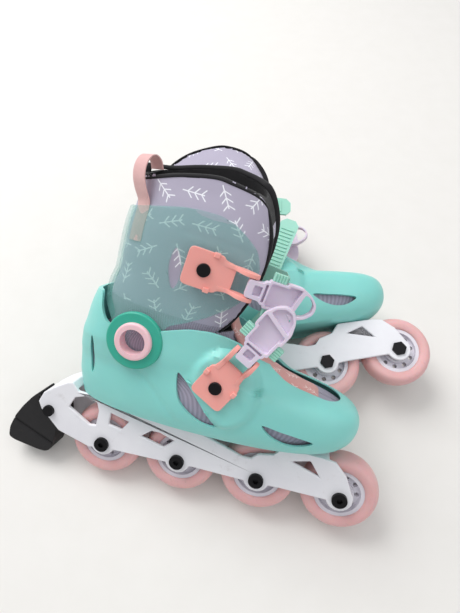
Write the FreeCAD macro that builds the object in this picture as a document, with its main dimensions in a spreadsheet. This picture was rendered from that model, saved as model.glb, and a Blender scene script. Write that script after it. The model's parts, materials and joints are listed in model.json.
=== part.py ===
"""A pair of adjustable kids' inline skates, lying as they were put down: the left skate on its outer
side, the right skate leaning on it. Millimetres, +Z up from the floor.

Every piece is modelled in the frame of its own skate: x forward to the toe, y to the skate's left,
z up, with the origin on the ground under the middle of the wheelbase. The skate's placement then
puts it on the floor. `lateral` is -1 on the right skate and +1 on the left one, so that a y of
lateral * 45 is on the outer side of either.
"""
import FreeCAD, Part
import math
import os
import Sketcher

Vec = FreeCAD.Vector
doc = FreeCAD.newDocument("inline_skates")

SIZES = {
    "wheel_diameter": 72, "wheel_width": 24, "hub_diameter": 46, "hub_width": 21,
    "axle_spacing": 76, "axle_diameter": 8, "bearing_diameter": 22, "bearing_width": 7,
    "running_gap": 0.05, "plate_gap": 27, "frame_width": 35, "boss_radius": 12,
    "cap_diameter": 14, "cap_height": 3.2, "nut_across": 13, "nut_height": 2.2,
    "shell_wall": 3, "cuff_wall": 2.5, "liner_wall": 6, "clear_gap": 0.4,
    "pivot_along": -81, "pivot_height": 156, "disc_diameter": 50, "disc_thickness": 4,
    "ring_bore": 22, "ring_tube": 26, "ring_flange": 33, "ring_flange_height": 3.2,
    "plate_side": 31, "plate_thickness": 4, "hinge_reach": 39, "hinge_height": 10,
    "hinge_pin": 3, "lever_length": 53, "lever_width": 27, "lever_neck": 15, "lever_thickness": 7,
    "arm_thickness": 3.5, "rivet_diameter": 11, "rivet_height": 2.2,
    "pawl_reach": 19, "pawl_width": 36, "pawl_length": 11, "pawl_rod": 4.4, "screw_diameter": 6,
    "strap_width": 20, "strap_thickness": 2.6, "strap_length": 62, "tooth_height": 1, "strap_gap": 0.35,
    "loop_width": 15, "loop_thickness": 1.8, "brake_width": 25,
    "right_along": -14.9, "right_across": 59.9, "right_height": 11.6,
    "right_yaw": -12.98, "right_pitch": -2.35, "right_roll": -46.7,
    "left_along": 71.2, "left_across": 145, "left_height": 25.55,
    "left_yaw": 8.67, "left_pitch": -5.71, "left_roll": -77.81,
    "origin_along": -6.865, "origin_across": 232.308, "origin_height": 0,
}
sheet = doc.addObject("Spreadsheet::Sheet", "Sheet")
for row, (alias, value) in enumerate(SIZES.items(), start=1):
    sheet.set(f"A{row}", alias)
    sheet.set(f"B{row}", str(value))
    sheet.setAlias(f"B{row}", alias)
doc.recompute()


def size(alias):
    """The value of one sheet cell."""
    return float(getattr(sheet, alias))


PIVOT = Vec(size("pivot_along"), 0, size("pivot_height"))
AXLES = [Vec(size("axle_spacing") * (number - 1.5), 0, size("wheel_diameter") / 2) for number in range(4)]
Y_AXIS = Vec(0, 1, 0)

# Horizontal slices of the boot: height, rear x, front x, half width, and how much wider the front
# of the slice is than its rear. The shell, the cuff and the liner are lofts through such slices.
SHELL_SLICES = [
    (73, -136, 84, 27, 0.1), (78, -140, 101, 34, 0.12), (86, -142, 112, 39, 0.13),
    (96, -144, 117.5, 42, 0.13), (108, -146, 118.5, 43, 0.12), (117, -146, 114, 43, 0.11),
    (123, -146, 104, 42.5, 0.1), (128, -146, 88, 42, 0.08), (135, -146, 60, 42, 0.05),
    (143, -145, 46, 43, 0.03), (150, -144, 38, 43.5, 0), (160, -141, 33, 43.5, 0),
    (176, -137, 33, 43.5, 0), (194, -130, 33, 43.5, 0),
]
CUFF_SLICES = [
    (130, -145, 10, 39.3, 0), (165, -130, 5, 39.2, 0), (184, -124.5, 10, 39.2, 0),
    (198, -122.5, 16, 39.4, 0), (212, -117.5, 20, 40.2, 0), (230, -115, 24, 41.5, 0),
    (252, -111.5, 23, 42, 0), (275, -105, 14, 40, 0),
]
LINER_SLICES = [
    (76, -132, 80, 22, 0.1), (80, -135, 93, 29, 0.12), (88, -138, 104, 34.5, 0.13),
    (97, -140, 110, 37.5, 0.13), (108, -142, 111, 39, 0.12), (116, -142, 105, 38.8, 0.11),
    (122, -142, 92, 38.2, 0.1), (128, -142, 72, 36.8, 0.08), (135, -141, 48, 36, 0.05),
    (143, -138, 30, 35.8, 0.03), (152, -130, 14, 35.8, 0), (165, -115.5, 0, 35.9, 0),
    (184, -119.5, 6, 36.4, 0), (198, -117.5, 12, 36.4, 0), (212, -112.8, 16, 37, 0),
    (230, -110.6, 20, 38.2, 0), (252, -107, 19.5, 38.6, 0), (275, -101.5, 16, 37.2, 0),
    (306, -100, 5, 34.5, 0),
]
SLICE_POWER = 2.5
SLICE_POINTS = 28

# Side outlines, as (x, z) corners.
FRAME_OUTLINE = [
    (-131, 84.5), (-141.5, 85), (-148, 93), (-153, 92), (-167, 84), (-178, 76), (-183, 66), (-180, 59),
    (-160, 39), (-128, 29), (-114, 32), (-64, 32), (-20, 33.5), (38, 32), (60, 33), (114, 32), (123, 30),
    (126, 38), (116, 59), (105, 70), (96, 71.9), (58, 73.9), (50, 65), (36, 62), (30, 56), (22, 56),
    (-10, 67), (-47, 77), (-66, 80.7),
]
CHANNEL_OUTLINE = [
    (-205, -5), (140, -5), (140, 72), (101, 72), (96, 68.5), (57, 68.5), (49, 84), (-58, 84),
    (-66, 76.5), (-130, 76.5), (-136, 87), (-151, 86), (-164, 79), (-172, 72), (-205, 72),
]
FRAME_WINDOWS = [
    [(-151, 67), (-145, 78), (-129, 83), (-123, 80), (-120, 70), (-122, 54), (-129, 53)],
    [(-108, 70), (-89, 65), (-96, 55), (-109, 58)],
    [(-76, 53), (-66, 61), (-58, 61), (-43, 56), (-53, 47)],
    [(66, 62), (83, 66.5), (93, 53)],
]
SHELL_SIDE = [
    (-155, 86), (70, 74.1), (92, 71), (130, 72), (130, 140), (62, 150), (30, 150), (20, 156), (8, 167),
    (-5, 172), (-18, 174.5), (-35, 174), (-48, 171), (-59, 168), (-100, 162), (-111, 166), (-117, 176),
    (-119, 191), (-140, 187), (-155, 186),
]
CUFF_SIDE = [
    (-130, 188), (-118, 181), (-109, 170), (-103, 158), (-97, 141), (-81, 134), (-66, 141), (-60, 160),
    (-56, 172), (-40, 178), (-23, 185), (-4, 196), (5, 205), (13, 228), (12, 236), (9, 245), (1, 254),
    (-10, 263), (-21, 268), (-35, 270), (-51, 271), (-68, 269.5), (-90, 267), (-120, 264),
]
COLLAR_TOP = [
    (8, 203), (14, 222), (17, 240), (17.5, 255), (15, 268), (9, 280), (0, 289), (-14, 296),
    (-34, 299), (-61, 298), (-84, 294), (-110, 291),
]
SIDE_WINDOW = [
    (-41, 135), (-40.5, 120), (-36, 108), (-25, 98), (-13, 92.5), (-3, 93), (-10, 101), (-23, 117),
    (-34, 130),
]
TOE_WINDOW = [(36, 104), (42, 96), (51, 90.5), (61, 88), (71, 89), (80, 94), (67, 98), (52, 101)]
CUFF_WINDOW = [(-54, 239), (-58, 230), (-59, 220), (-57, 209), (-54, 205), (-50, 212), (-48.5, 222),
               (-50, 232)]
THROAT = (-2, 80, 19)
BRAKE_OUTLINE = [
    (-183.4, 67), (-184, 74), (-193, 66), (-203, 54), (-211, 42), (-217, 28), (-218, 17), (-212, 14),
    (-184, 9), (-176, 9), (-171, 13), (-167, 28), (-165, 42), (-180.4, 58.6),
]
BRAKE_TONGUE = [(-185, 62), (-185, 70), (-181, 68), (-172, 70.5), (-163, 62), (-161, 46), (-172, 51)]
BRAKE_BOLT = Vec(-171, 0, 59)
# The two screws from the frame into the shell: x, lower end and upper end.
FRAME_SCREWS = [(-100, 72.5, 86), (76, 64, 77)]

# Where each buckle sits: rivet x and z, surface y, direction of the lever above the x axis, and
# how far the plate turns in towards the shin.
INSTEP = {"rivet": (-6, 132), "surface": 46.5, "rise": 57, "inward": 0}
ANKLE = {"rivet": (-29, 226), "surface": 44.4, "rise": -12, "inward": 12}


def origin_item(body, role):
    """One of the body's own origin planes or axes, by its role."""
    return [item for item in body.Origin.OriginFeatures if item.Role == role][0]


def new_sketch(body, name, role="XZ_Plane"):
    """An empty sketch on an origin plane of the body."""
    sketch = body.newObject("Sketcher::SketchObject", name)
    sketch.AttachmentSupport = [(origin_item(body, role), "")]
    sketch.MapMode = "FlatFace"
    return sketch


def draw_polygon(sketch, corners):
    """Adds a closed polygon and returns the number of its first edge."""
    first = sketch.GeometryCount
    count = len(corners)
    for index in range(count):
        start = Vec(*corners[index], 0)
        end = Vec(*corners[(index + 1) % count], 0)
        sketch.addGeometry(Part.LineSegment(start, end), False)
    for index in range(count):
        following = first + (index + 1) % count
        sketch.addConstraint(Sketcher.Constraint("Coincident", first + index, 2, following, 1))
    return first


def draw_circle(sketch, x, y, expression, value):
    """Adds a circle whose diameter follows a sheet expression."""
    index = sketch.addGeometry(Part.Circle(Vec(x, y, 0), Vec(0, 0, 1), value / 2), False)
    constraint = sketch.addConstraint(Sketcher.Constraint("Diameter", index, value))
    sketch.setExpression(f"Constraints[{constraint}]", expression)


def pad(body, sketch, name, expression):
    """A pad, half to each side of the sketch."""
    feature = body.newObject("PartDesign::Pad", name)
    feature.Profile = sketch
    feature.SideType = "Symmetric"
    feature.setExpression("Length", expression)
    return feature


def pocket(body, sketch, name, expression):
    """A pocket, half to each side of the sketch."""
    feature = body.newObject("PartDesign::Pocket", name)
    feature.Profile = sketch
    feature.SideType = "Symmetric"
    feature.setExpression("Length", expression)
    return feature


def revolve(body, sketch, name):
    """A full turn about the sketch's vertical axis."""
    feature = body.newObject("PartDesign::Revolution", name)
    feature.Profile = sketch
    feature.ReferenceAxis = (sketch, ["V_Axis"])
    feature.Angle = 360
    return feature


def prism(corners, depth, centre=0.0):
    """A solid between two copies of a side outline, at y = centre - depth / 2 and + depth / 2."""
    points = [Vec(x, centre - depth / 2, z) for x, z in corners]
    face = Part.Face(Part.makePolygon(points + points[:1]))
    return face.extrude(Vec(0, depth, 0))


def smooth_prism(corners, depth, centre=0.0):
    """The same with a smooth closed curve through the corners."""
    curve = Part.BSplineCurve()
    curve.interpolate([Vec(x, centre - depth / 2, z) for x, z in corners], PeriodicFlag=True)
    return Part.Face(Part.Wire(curve.toShape())).extrude(Vec(0, depth, 0))


def slice_wire(height, rear, front, half, widening, inset):
    """The closed outline of one horizontal slice, moved inwards by the inset."""
    middle = (rear + front) / 2
    reach = (front - rear) / 2 - inset
    points = []
    for index in range(SLICE_POINTS):
        angle = 2 * math.pi * index / SLICE_POINTS
        cosine, sine = math.cos(angle), math.sin(angle)
        x = reach * math.copysign(abs(cosine) ** (2 / SLICE_POWER), cosine)
        y = (half - inset) * math.copysign(abs(sine) ** (2 / SLICE_POWER), sine)
        points.append(Vec(middle + x, y * (1 + widening * cosine), height))
    curve = Part.BSplineCurve()
    curve.interpolate(points, PeriodicFlag=True)
    return Part.Wire(curve.toShape())


def boot_loft(slices, inset=0.0):
    """A solid through all slices of a list, moved inwards by the inset."""
    wires = [slice_wire(*one_slice, inset) for one_slice in slices]
    return Part.makeLoft(wires, True, True)


def cylinder_y(radius, start, end, x=0.0, z=0.0):
    """A cylinder along y between two y values."""
    low, high = min(start, end), max(start, end)
    return Part.makeCylinder(radius, high - low, Vec(x, low, z), Y_AXIS)


def feature_of(name, shape):
    """A Part::Feature that holds a shape computed by Part's own functions."""
    feature = doc.addObject("Part::Feature", name)
    feature.Shape = shape
    return feature


def tyre(name, axle):
    """A polyurethane tyre with a rounded crown, revolved on the wheel's axis."""
    radius, half = size("wheel_diameter") / 2, size("wheel_width") / 2
    inner = size("hub_diameter") / 2
    body = doc.addObject("PartDesign::Body", name)
    sketch = new_sketch(body, name + "_profile", "XY_Plane")
    corners = [(inner, -9), (inner + 2, -10.5), (radius - 7.5, -half), (radius - 3, -half + 2.4),
               (radius - 0.8, -half + 6), (radius, -3), (radius, 3), (radius - 0.8, half - 6),
               (radius - 3, half - 2.4), (radius - 7.5, half), (inner + 2, 10.5), (inner, 9)]
    first = draw_polygon(sketch, corners)
    outer = sketch.addConstraint(Sketcher.Constraint("DistanceX", -1, 1, first + 5, 1, radius))
    sketch.setExpression(f"Constraints[{outer}]", "Sheet.wheel_diameter / 2")
    revolve(body, sketch, name + "_turn")
    return body, axle


def hub(name, axle):
    """A moulded hub: bearing barrel, rim and five spokes with slots between them."""
    rim, half = size("hub_diameter") / 2, size("hub_width") / 2
    bore = size("bearing_diameter") / 2 + size("running_gap")
    body = doc.addObject("PartDesign::Body", name)
    sketch = new_sketch(body, name + "_profile", "XY_Plane")
    corners = [(bore, -half), (bore + 2.2, -half), (bore + 2.2, -4), (rim - 3.5, -4), (rim - 3.5, -9),
               (rim, -9), (rim, 9), (rim - 3.5, 9), (rim - 3.5, 4), (bore + 2.2, 4),
               (bore + 2.2, half), (bore, half)]
    first = draw_polygon(sketch, corners)
    wall = sketch.addConstraint(Sketcher.Constraint("DistanceX", -1, 1, first, 1, bore))
    sketch.setExpression(f"Constraints[{wall}]", "Sheet.bearing_diameter / 2 + Sheet.running_gap")
    revolve(body, sketch, name + "_turn")
    slot = new_sketch(body, name + "_slot")
    draw_circle(slot, (bore + rim - 1.3) / 2, 0, "Sheet.hub_diameter / 10", rim / 5)
    cut = pocket(body, slot, name + "_hole", "Sheet.hub_width")
    pattern = body.newObject("PartDesign::PolarPattern", name + "_holes")
    pattern.Originals = [cut]
    pattern.Axis = (origin_item(body, "Y_Axis"), [""])
    pattern.Angle = 360
    pattern.Occurrences = 10
    body.Tip = pattern
    return body, axle


def frame(name):
    """The wheel frame: two side plates joined by a heel deck, a toe deck and a rear bridge."""
    body = doc.addObject("PartDesign::Body", name)
    outline = new_sketch(body, name + "_outline")
    draw_polygon(outline, FRAME_OUTLINE)
    pad(body, outline, name + "_plates", "Sheet.frame_width")
    bosses = new_sketch(body, name + "_bosses")
    for axle in AXLES:
        draw_circle(bosses, axle.x, axle.z, "Sheet.boss_radius * 2", size("boss_radius") * 2)
    pad(body, bosses, name + "_boss_pad", "Sheet.frame_width")
    channel = new_sketch(body, name + "_channel")
    draw_polygon(channel, CHANNEL_OUTLINE)
    pocket(body, channel, name + "_hollow", "Sheet.plate_gap")
    windows = new_sketch(body, name + "_windows")
    for corners in FRAME_WINDOWS:
        draw_polygon(windows, corners)
    pocket(body, windows, name + "_window_cut", "Sheet.frame_width * 2")
    holes = new_sketch(body, name + "_axle_holes")
    for axle in AXLES:
        draw_circle(holes, axle.x, axle.z, "Sheet.axle_diameter + 0.1", size("axle_diameter") + 0.1)
    draw_circle(holes, BRAKE_BOLT.x, BRAKE_BOLT.z, "Sheet.axle_diameter * 0.75 + 0.1", 6.1)
    pocket(body, holes, name + "_hole_cut", "Sheet.frame_width * 2")
    screws = new_sketch(body, name + "_screw_holes", "XY_Plane")
    for x, _, _ in FRAME_SCREWS:
        draw_circle(screws, x, 0, "Sheet.screw_diameter", size("screw_diameter"))
    pocket(body, screws, name + "_screw_cut", "Sheet.frame_width * 6")
    return body


def bearings(name):
    """Two ball bearings in each wheel and the spacer between them."""
    outer, width = size("bearing_diameter") / 2, size("bearing_width")
    bore, reach = size("axle_diameter") / 2 + 0.02, size("hub_width") / 2
    solids = []
    for axle in AXLES:
        for start in (-reach, reach - width):
            ring = cylinder_y(outer, start, start + width, axle.x, axle.z)
            solids.append(ring.cut(cylinder_y(bore, start, start + width, axle.x, axle.z)))
        tube = cylinder_y(bore + 2, -reach + width, reach - width, axle.x, axle.z)
        solids.append(tube.cut(cylinder_y(bore, -reach, reach, axle.x, axle.z)))
        for start, end in ((-size("plate_gap") / 2, -reach), (reach, size("plate_gap") / 2)):
            washer = cylinder_y(bore + 2.5, start, end, axle.x, axle.z)
            solids.append(washer.cut(cylinder_y(bore, start, end, axle.x, axle.z)))
    return feature_of(name, Part.makeCompound(solids))


def hexagon(across, start, end, x, z):
    """A hexagonal bar along y."""
    radius = across / math.sqrt(3)
    turns = [math.radians(60 * index) for index in range(6)]
    corners = [(x + radius * math.cos(turn), z + radius * math.sin(turn)) for turn in turns]
    return prism(corners, abs(end - start), (start + end) / 2)


def axle_bolts(name, lateral):
    """Four axle bolts, round heads on the outer side, and their hexagon nuts."""
    side = size("frame_width") / 2
    head, nut_top = side + size("cap_height"), side + size("nut_height")
    solids = []
    for axle in AXLES:
        shank = cylinder_y(size("axle_diameter") / 2, -lateral * nut_top, lateral * side, axle.x, axle.z)
        cap = cylinder_y(size("cap_diameter") / 2, lateral * side, lateral * head, axle.x, axle.z)
        socket = hexagon(5, lateral * (side + 1), lateral * (head + 1), axle.x, axle.z)
        solids.append(shank.fuse(cap).cut(socket).removeSplitter())
        nut = hexagon(size("nut_across"), -lateral * side, -lateral * nut_top, axle.x, axle.z)
        bore = cylinder_y(size("axle_diameter") / 2, -lateral * side, -lateral * (side + 6), axle.x, axle.z)
        solids.append(nut.cut(bore))
    return feature_of(name, Part.makeCompound(solids))


def shell(name):
    """The boot shell: a hollow hull, open at the top, with a throat slot and side windows."""
    wall = size("shell_wall")
    outer = boot_loft(SHELL_SLICES).common(prism(SHELL_SIDE, 140))
    floor_side = [(-160, 86 + wall + 0.3), (70, 74.1 + wall), (130, 74.1 + wall), (130, 220), (-160, 220)]
    inner = boot_loft(SHELL_SLICES, wall).common(prism(floor_side, 140))
    body = outer.cut(inner)
    start, end, half = THROAT
    slot = Part.makeBox(end - start, 2 * half, 80, Vec(start, -half, 118))
    tip = Part.makeCylinder(half, 80, Vec(end, 0, 118))
    tools = [slot, tip]
    for side in (-1, 1):
        for window in (SIDE_WINDOW, TOE_WINDOW):
            tools.append(smooth_prism(window, 30, side * 42))
        tools.append(Part.makeBox(24, 5, 38, Vec(-152, side * 16 - 2.5, 112)))
        tools.append(cylinder_y(size("disc_diameter") / 2 + 0.05, side * 30, side * 60, PIVOT.x, PIVOT.z))
    for x, _, _ in FRAME_SCREWS:
        tools.append(Part.makeCylinder(size("screw_diameter") / 2, 40, Vec(x, 0, 60)))
    surface = INSTEP["surface"]
    for side in (-1, 1):
        boss = smooth_prism([(-28, 132), (-16, 112), (4, 104), (20, 118), (22, 136), (4, 156),
                             (-12, 156)], surface - 38, side * (surface + 38) / 2)
        boss = boss.cut(boot_loft(SHELL_SLICES, wall))
        body = body.fuse(boss)
    for tool in tools:
        body = body.cut(tool)
    rivet = size("rivet_diameter") * 0.25
    x, z = INSTEP["rivet"]
    body = body.cut(cylinder_y(rivet, -60, 60, x, z))
    return feature_of(name, max(body.Solids, key=lambda solid: solid.Volume))


def cuff(name):
    """The hinged cuff: a C-shaped band round the ankle, open at the front."""
    wall = size("cuff_wall")
    body = boot_loft(CUFF_SLICES).cut(boot_loft(CUFF_SLICES, wall))
    body = body.common(prism(CUFF_SIDE, 140))
    body = body.cut(Part.makeBox(80, 46, 200, Vec(-30, -23, 120)))
    bore = size("ring_tube") / 2 + size("running_gap")
    body = body.cut(cylinder_y(bore, -60, 60, PIVOT.x, PIVOT.z))
    for side in (-1, 1):
        body = body.cut(smooth_prism(CUFF_WINDOW, 30, side * 42))
        boss = anchored(buckle_prism([(-13, -13), (13, -13), (13, 13), (-13, 13)], -8, 0), ANKLE, side)
        boss = boss.cut(boot_loft(CUFF_SLICES, wall * 0.5))
        body = body.fuse(boss)
        body = body.cut(anchored(buckle_cylinder(0, size("rivet_diameter") * 0.25, -20, 5), ANKLE, side))
    return feature_of(name, max(body.Solids, key=lambda solid: solid.Volume))


def sector_side(radius, front_angle, rear_angle, far):
    """A side outline below two rays from the pivot, bulging up round it by the radius."""
    corners = []
    for step in range(9):
        angle = math.radians(front_angle + (rear_angle - front_angle) * step / 8)
        corners.append((PIVOT.x + radius * math.cos(angle), PIVOT.z + radius * math.sin(angle)))
    front, rear = math.radians(front_angle), math.radians(rear_angle)
    ahead = (PIVOT.x + far * math.cos(front), PIVOT.z + far * math.sin(front))
    behind = (PIVOT.x + far * math.cos(rear), PIVOT.z + far * math.sin(rear))
    return [ahead] + corners + [behind]


def liner_boot(name):
    """The padded sock inside the shell, up to the ankle joint, with the foot's hollow."""
    base = size("shell_wall") + size("clear_gap")
    side = [(-160, 86 + base + 0.3), (70, 74.1 + base), (140, 74.1 + base), (140, 178)]
    side += sector_side(24, 13, 160, 110)
    outer = boot_loft(LINER_SLICES).common(prism(side, 140))
    wall = size("liner_wall")
    hollow = [(-160, 86 + base + wall), (70, 74.1 + base + wall), (140, 74.1 + base + wall),
              (140, 320), (-160, 320)]
    inner = boot_loft(LINER_SLICES, wall).common(prism(hollow, 140))
    start, end, half = THROAT
    mouth = Part.makeBox(end - start + 9, 2 * half - 3, 90, Vec(start - 9, -half + 1.5, 112))
    body = outer.cut(inner).cut(mouth)
    return feature_of(name, max(body.Solids, key=lambda solid: solid.Volume))


def liner_collar(name):
    """The padded collar that stands inside the cuff."""
    lower = sector_side(28, 27, 154, 100)
    side = COLLAR_TOP + list(reversed(lower))
    outer = boot_loft(LINER_SLICES).cut(boot_loft(LINER_SLICES, size("liner_wall")))
    body = outer.common(prism(side, 140)).cut(Part.makeBox(60, 30, 200, Vec(-15, -15, 120)))
    return feature_of(name, max(body.Solids, key=lambda solid: solid.Volume))


def tongue(name):
    """The tongue: a padded strip over the instep and up the shin, inside the throat."""
    side = [(88, 117), (80, 121), (58, 126), (38, 134), (20, 146), (4, 160), (-6, 178), (-7, 205),
            (-4, 232), (-9, 233), (-12.5, 205), (-11.5, 176), (-1, 156), (15, 141), (35, 129), (57, 121),
            (79, 116), (87, 113)]
    return feature_of(name, prism(side, 2 * THROAT[2] - 10))


def pivot_discs(name):
    """The two round covers of the ankle joint, let into the shell's sides."""
    solids = []
    for side in (-1, 1):
        start = side * 41
        end = side * (41 + size("disc_thickness"))
        disc = cylinder_y(size("disc_diameter") / 2, start, end, PIVOT.x, PIVOT.z)
        edge = [item for item in disc.Edges if abs(item.BoundBox.YMin - end) < 0.1 and item.Length > 50]
        disc = disc.makeFillet(1.6, edge)
        solids.append(disc.cut(cylinder_y(size("ring_tube") / 2, -60, 60, PIVOT.x, PIVOT.z)))
    return feature_of(name, Part.makeCompound(solids))


def pivot_rings(name):
    """The two hollow rivets on which the cuff turns: a tube with a rounded outer flange."""
    solids = []
    for side in (-1, 1):
        seat = 41 + size("disc_thickness")
        top = seat + size("ring_flange_height")
        tube = cylinder_y(size("ring_tube") / 2, side * 37, side * seat, PIVOT.x, PIVOT.z)
        flange = cylinder_y(size("ring_flange") / 2, side * seat, side * top, PIVOT.x, PIVOT.z)
        rim = [item for item in flange.Edges if abs(item.BoundBox.YMin - side * top) < 0.1]
        flange = flange.makeFillet(2.2, rim)
        ring = tube.fuse(flange).cut(cylinder_y(size("ring_bore") / 2, -60, 60, PIVOT.x, PIVOT.z))
        solids.append(ring.removeSplitter())
    return feature_of(name, Part.makeCompound(solids))


def buckle_frame(mount, lateral):
    """The placement of a buckle: u along the lever, v across it, n away from the boot."""
    rise, inward = math.radians(mount["rise"]), math.radians(mount["inward"])
    outward = Vec(0, lateral, 0)
    flat = Vec(math.cos(rise), 0, math.sin(rise))
    along = flat * math.cos(inward) - outward * math.sin(inward)
    normal = outward * math.cos(inward) + flat * math.sin(inward)
    across = normal.cross(along)
    x, z = mount["rivet"]
    matrix = FreeCAD.Matrix(along.x, across.x, normal.x, x,
                            along.y, across.y, normal.y, lateral * mount["surface"],
                            along.z, across.z, normal.z, z, 0, 0, 0, 1)
    return FreeCAD.Placement(matrix)


def anchored(shape, mount, lateral):
    """A copy of a shape drawn in the buckle's own u, v, n, put in its place on the skate."""
    placed = shape.copy()
    placed.transformShape(buckle_frame(mount, lateral).Matrix, True)
    return placed


def buckle_prism(corners, low, high):
    """A plate between two n values with a u, v outline."""
    points = [Vec(u, v, low) for u, v in corners]
    return Part.Face(Part.makePolygon(points + points[:1])).extrude(Vec(0, 0, high - low))


def buckle_cylinder(u, radius, low, high):
    """A round pin along n."""
    return Part.makeCylinder(radius, high - low, Vec(u, 0, low))


def cross_pin(u, n, radius, half):
    """A round pin along v."""
    return Part.makeCylinder(radius, 2 * half, Vec(u, -half, n), Vec(0, 1, 0))


def buckle_base(name, mount, lateral):
    """The riveted plate with its two clevis arms and small side pegs."""
    half = size("plate_side") / 2
    neck = size("lever_neck") / 2 + 0.6
    arm = size("arm_thickness")
    reach, height = size("hinge_reach"), size("hinge_height")
    thick = size("plate_thickness")
    plate = buckle_prism([(-half + 3, -half + 4), (half - 2, -half), (half + 9, -neck - arm),
                          (half + 9, neck + arm), (half - 2, half), (-half + 3, half - 4)], 0, thick)
    corners = [edge for edge in plate.Edges if abs(edge.Length - thick) < 0.01]
    plate = plate.makeFillet(3, corners)
    solid = plate
    for side in (-1, 1):
        v = side * (neck + arm / 2)
        block = Part.makeBox(reach + 4 - half + 2, arm, thick, Vec(half - 2, v - arm / 2, 0))
        web = Part.makeBox(12, arm, height + 3.5, Vec(reach - 8, v - arm / 2, 0))
        peg = Part.makeBox(5, 3.5, thick - 1, Vec(6, side * (half + 0.2) - 1.75, 0))
        solid = solid.fuse([block, web, peg])
    solid = solid.cut(cross_pin(reach, height, size("hinge_pin") / 2, 30))
    solid = solid.cut(buckle_cylinder(0, size("rivet_diameter") * 0.25, -5, 10))
    return feature_of(name, anchored(solid.removeSplitter(), mount, lateral))


def lever(name, mount, lateral):
    """The buckle lever: a pocketed arm with a narrow neck, an open tip and a slot for the pawl."""
    pivot, height = size("hinge_reach"), size("hinge_height")
    half, neck = size("lever_width") / 2, size("lever_neck") / 2
    thick, length = size("lever_thickness"), size("lever_length")
    pawl = size("pawl_reach")
    outline = [(-4, -neck), (8, -neck), (10, -neck - 2), (pawl - 7, -neck - 2), (pawl - 7, -neck - 4),
               (pawl + 7, -neck - 4), (pawl + 7, -half), (length - 15, -half), (length - 5, -half + 5),
               (length, -4), (length, 4), (length - 5, half - 5), (length - 15, half),
               (pawl + 7, half), (pawl + 7, neck + 4), (pawl - 7, neck + 4), (pawl - 7, neck + 2),
               (10, neck + 2), (8, neck), (-4, neck)]
    outline = [(pivot + u, v) for u, v in outline]
    low, high = height - thick / 2, height + thick / 2
    body = buckle_prism(outline, low, high)
    well = [(pivot + 13, -6), (pivot + length - 17, -9), (pivot + length - 17, 9), (pivot + 13, 6)]
    body = body.cut(buckle_prism(well, low + 2, high + 1))
    eye = [(pivot + length - 13, -7.5), (pivot + length - 5, -2), (pivot + length - 5, 2),
           (pivot + length - 13, 7.5)]
    body = body.cut(buckle_prism(eye, low - 1, high + 1))
    body = body.cut(buckle_prism([(pivot + 4, -2), (pivot + 10, -2), (pivot + 10, 2), (pivot + 4, 2)],
                                 low + 2, high + 1))
    body = body.cut(cross_pin(pivot, height, size("hinge_pin") / 2 + size("running_gap"), 30))
    body = body.cut(cross_pin(pivot + pawl, height, size("pawl_rod") / 2 + size("running_gap"), 30))
    return feature_of(name, anchored(body, mount, lateral))


def pawl(name, mount, lateral):
    """The sprung release catch: a cross rod in the lever with a ribbed thumb tab at each end."""
    u = size("hinge_reach") + size("pawl_reach")
    n = size("hinge_height")
    half, length = size("pawl_width") / 2, size("pawl_length")
    inner = size("lever_neck") / 2 + 4.4
    body = cross_pin(u, n, size("pawl_rod") / 2, half)
    for side in (-1, 1):
        low = min(side * inner, side * half)
        body = body.fuse(Part.makeBox(length, half - inner, 4.8, Vec(u - length / 2, low, n - 2.4)))
    return feature_of(name, anchored(body.removeSplitter(), mount, lateral))


def strap(name, mount, lateral):
    """A ratchet strap on the inner side: a flat strip with cross teeth, riveted at its lower end."""
    half, low = size("strap_width") / 2, size("strap_gap")
    thick = low + size("strap_thickness")
    length, tooth = size("strap_length"), size("tooth_height")
    body = buckle_prism([(-9, -half + 3), (-5, -half), (length, -half), (length + 5, -half + 5),
                         (length + 5, half - 5), (length, half), (-5, half), (-9, half - 3)], low, thick)
    for step in range(11):
        u = 12 + step * (length - 16) / 11
        ridge = Part.makeBox(2, 2 * half - 6, tooth, Vec(u, -half + 3, thick))
        body = body.fuse(ridge)
    body = body.cut(buckle_cylinder(0, size("rivet_diameter") * 0.25 + size("running_gap"), -5, 10))
    return feature_of(name, anchored(body.removeSplitter(), mount, -lateral))


def rivet(mount, side, seat, depth):
    """A rivet through the wall at a buckle or strap anchor, with a low domed head."""
    radius = size("rivet_diameter") / 2
    head = buckle_cylinder(0, radius, seat, seat + size("rivet_height"))
    rim = [edge for edge in head.Edges if abs(edge.BoundBox.ZMin - seat - size("rivet_height")) < 0.1]
    head = head.makeFillet(0.8, rim)
    pin = head.fuse(buckle_cylinder(0, radius / 2, -depth, seat))
    return anchored(pin.removeSplitter(), mount, side)


def fasteners(name, mount, lateral, depth, screws=()):
    """The buckle's rivet and hinge pin, the strap's rivet, and the frame screws of the shell."""
    seat = size("plate_thickness")
    pin = cross_pin(size("hinge_reach"), size("hinge_height"), size("hinge_pin") / 2,
                    size("lever_neck") / 2 + 0.6 + size("arm_thickness"))
    solids = [rivet(mount, lateral, seat, depth), anchored(pin, mount, lateral),
              rivet(mount, -lateral, size("strap_thickness") + 2 * size("strap_gap"), depth)]
    for x, low, high in screws:
        solids.append(Part.makeCylinder(size("screw_diameter") / 2, high - low, Vec(x, 0, low)))
    return feature_of(name, Part.makeCompound(solids))


def pull_loop(name):
    """The webbing loop at the back of the collar: two ends sewn to it and a bow between them."""
    wide, thick = size("loop_width"), size("loop_thickness")
    low, top, end = Vec(-106.3, -wide / 2, 269), Vec(-102, -wide / 2, 308.5), Vec(-90.5, -wide / 2, 300)
    bow = Part.Arc(low, Vec(-114, -wide / 2, 290), top).toShape()
    crown = Part.Arc(top, Vec(-94.5, -wide / 2, 307), end).toShape()
    ribbon = Part.Wire([bow, crown]).makeOffset2D(-thick, fill=True, openResult=True)
    return feature_of(name, ribbon.extrude(Vec(0, wide, 0)))


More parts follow.
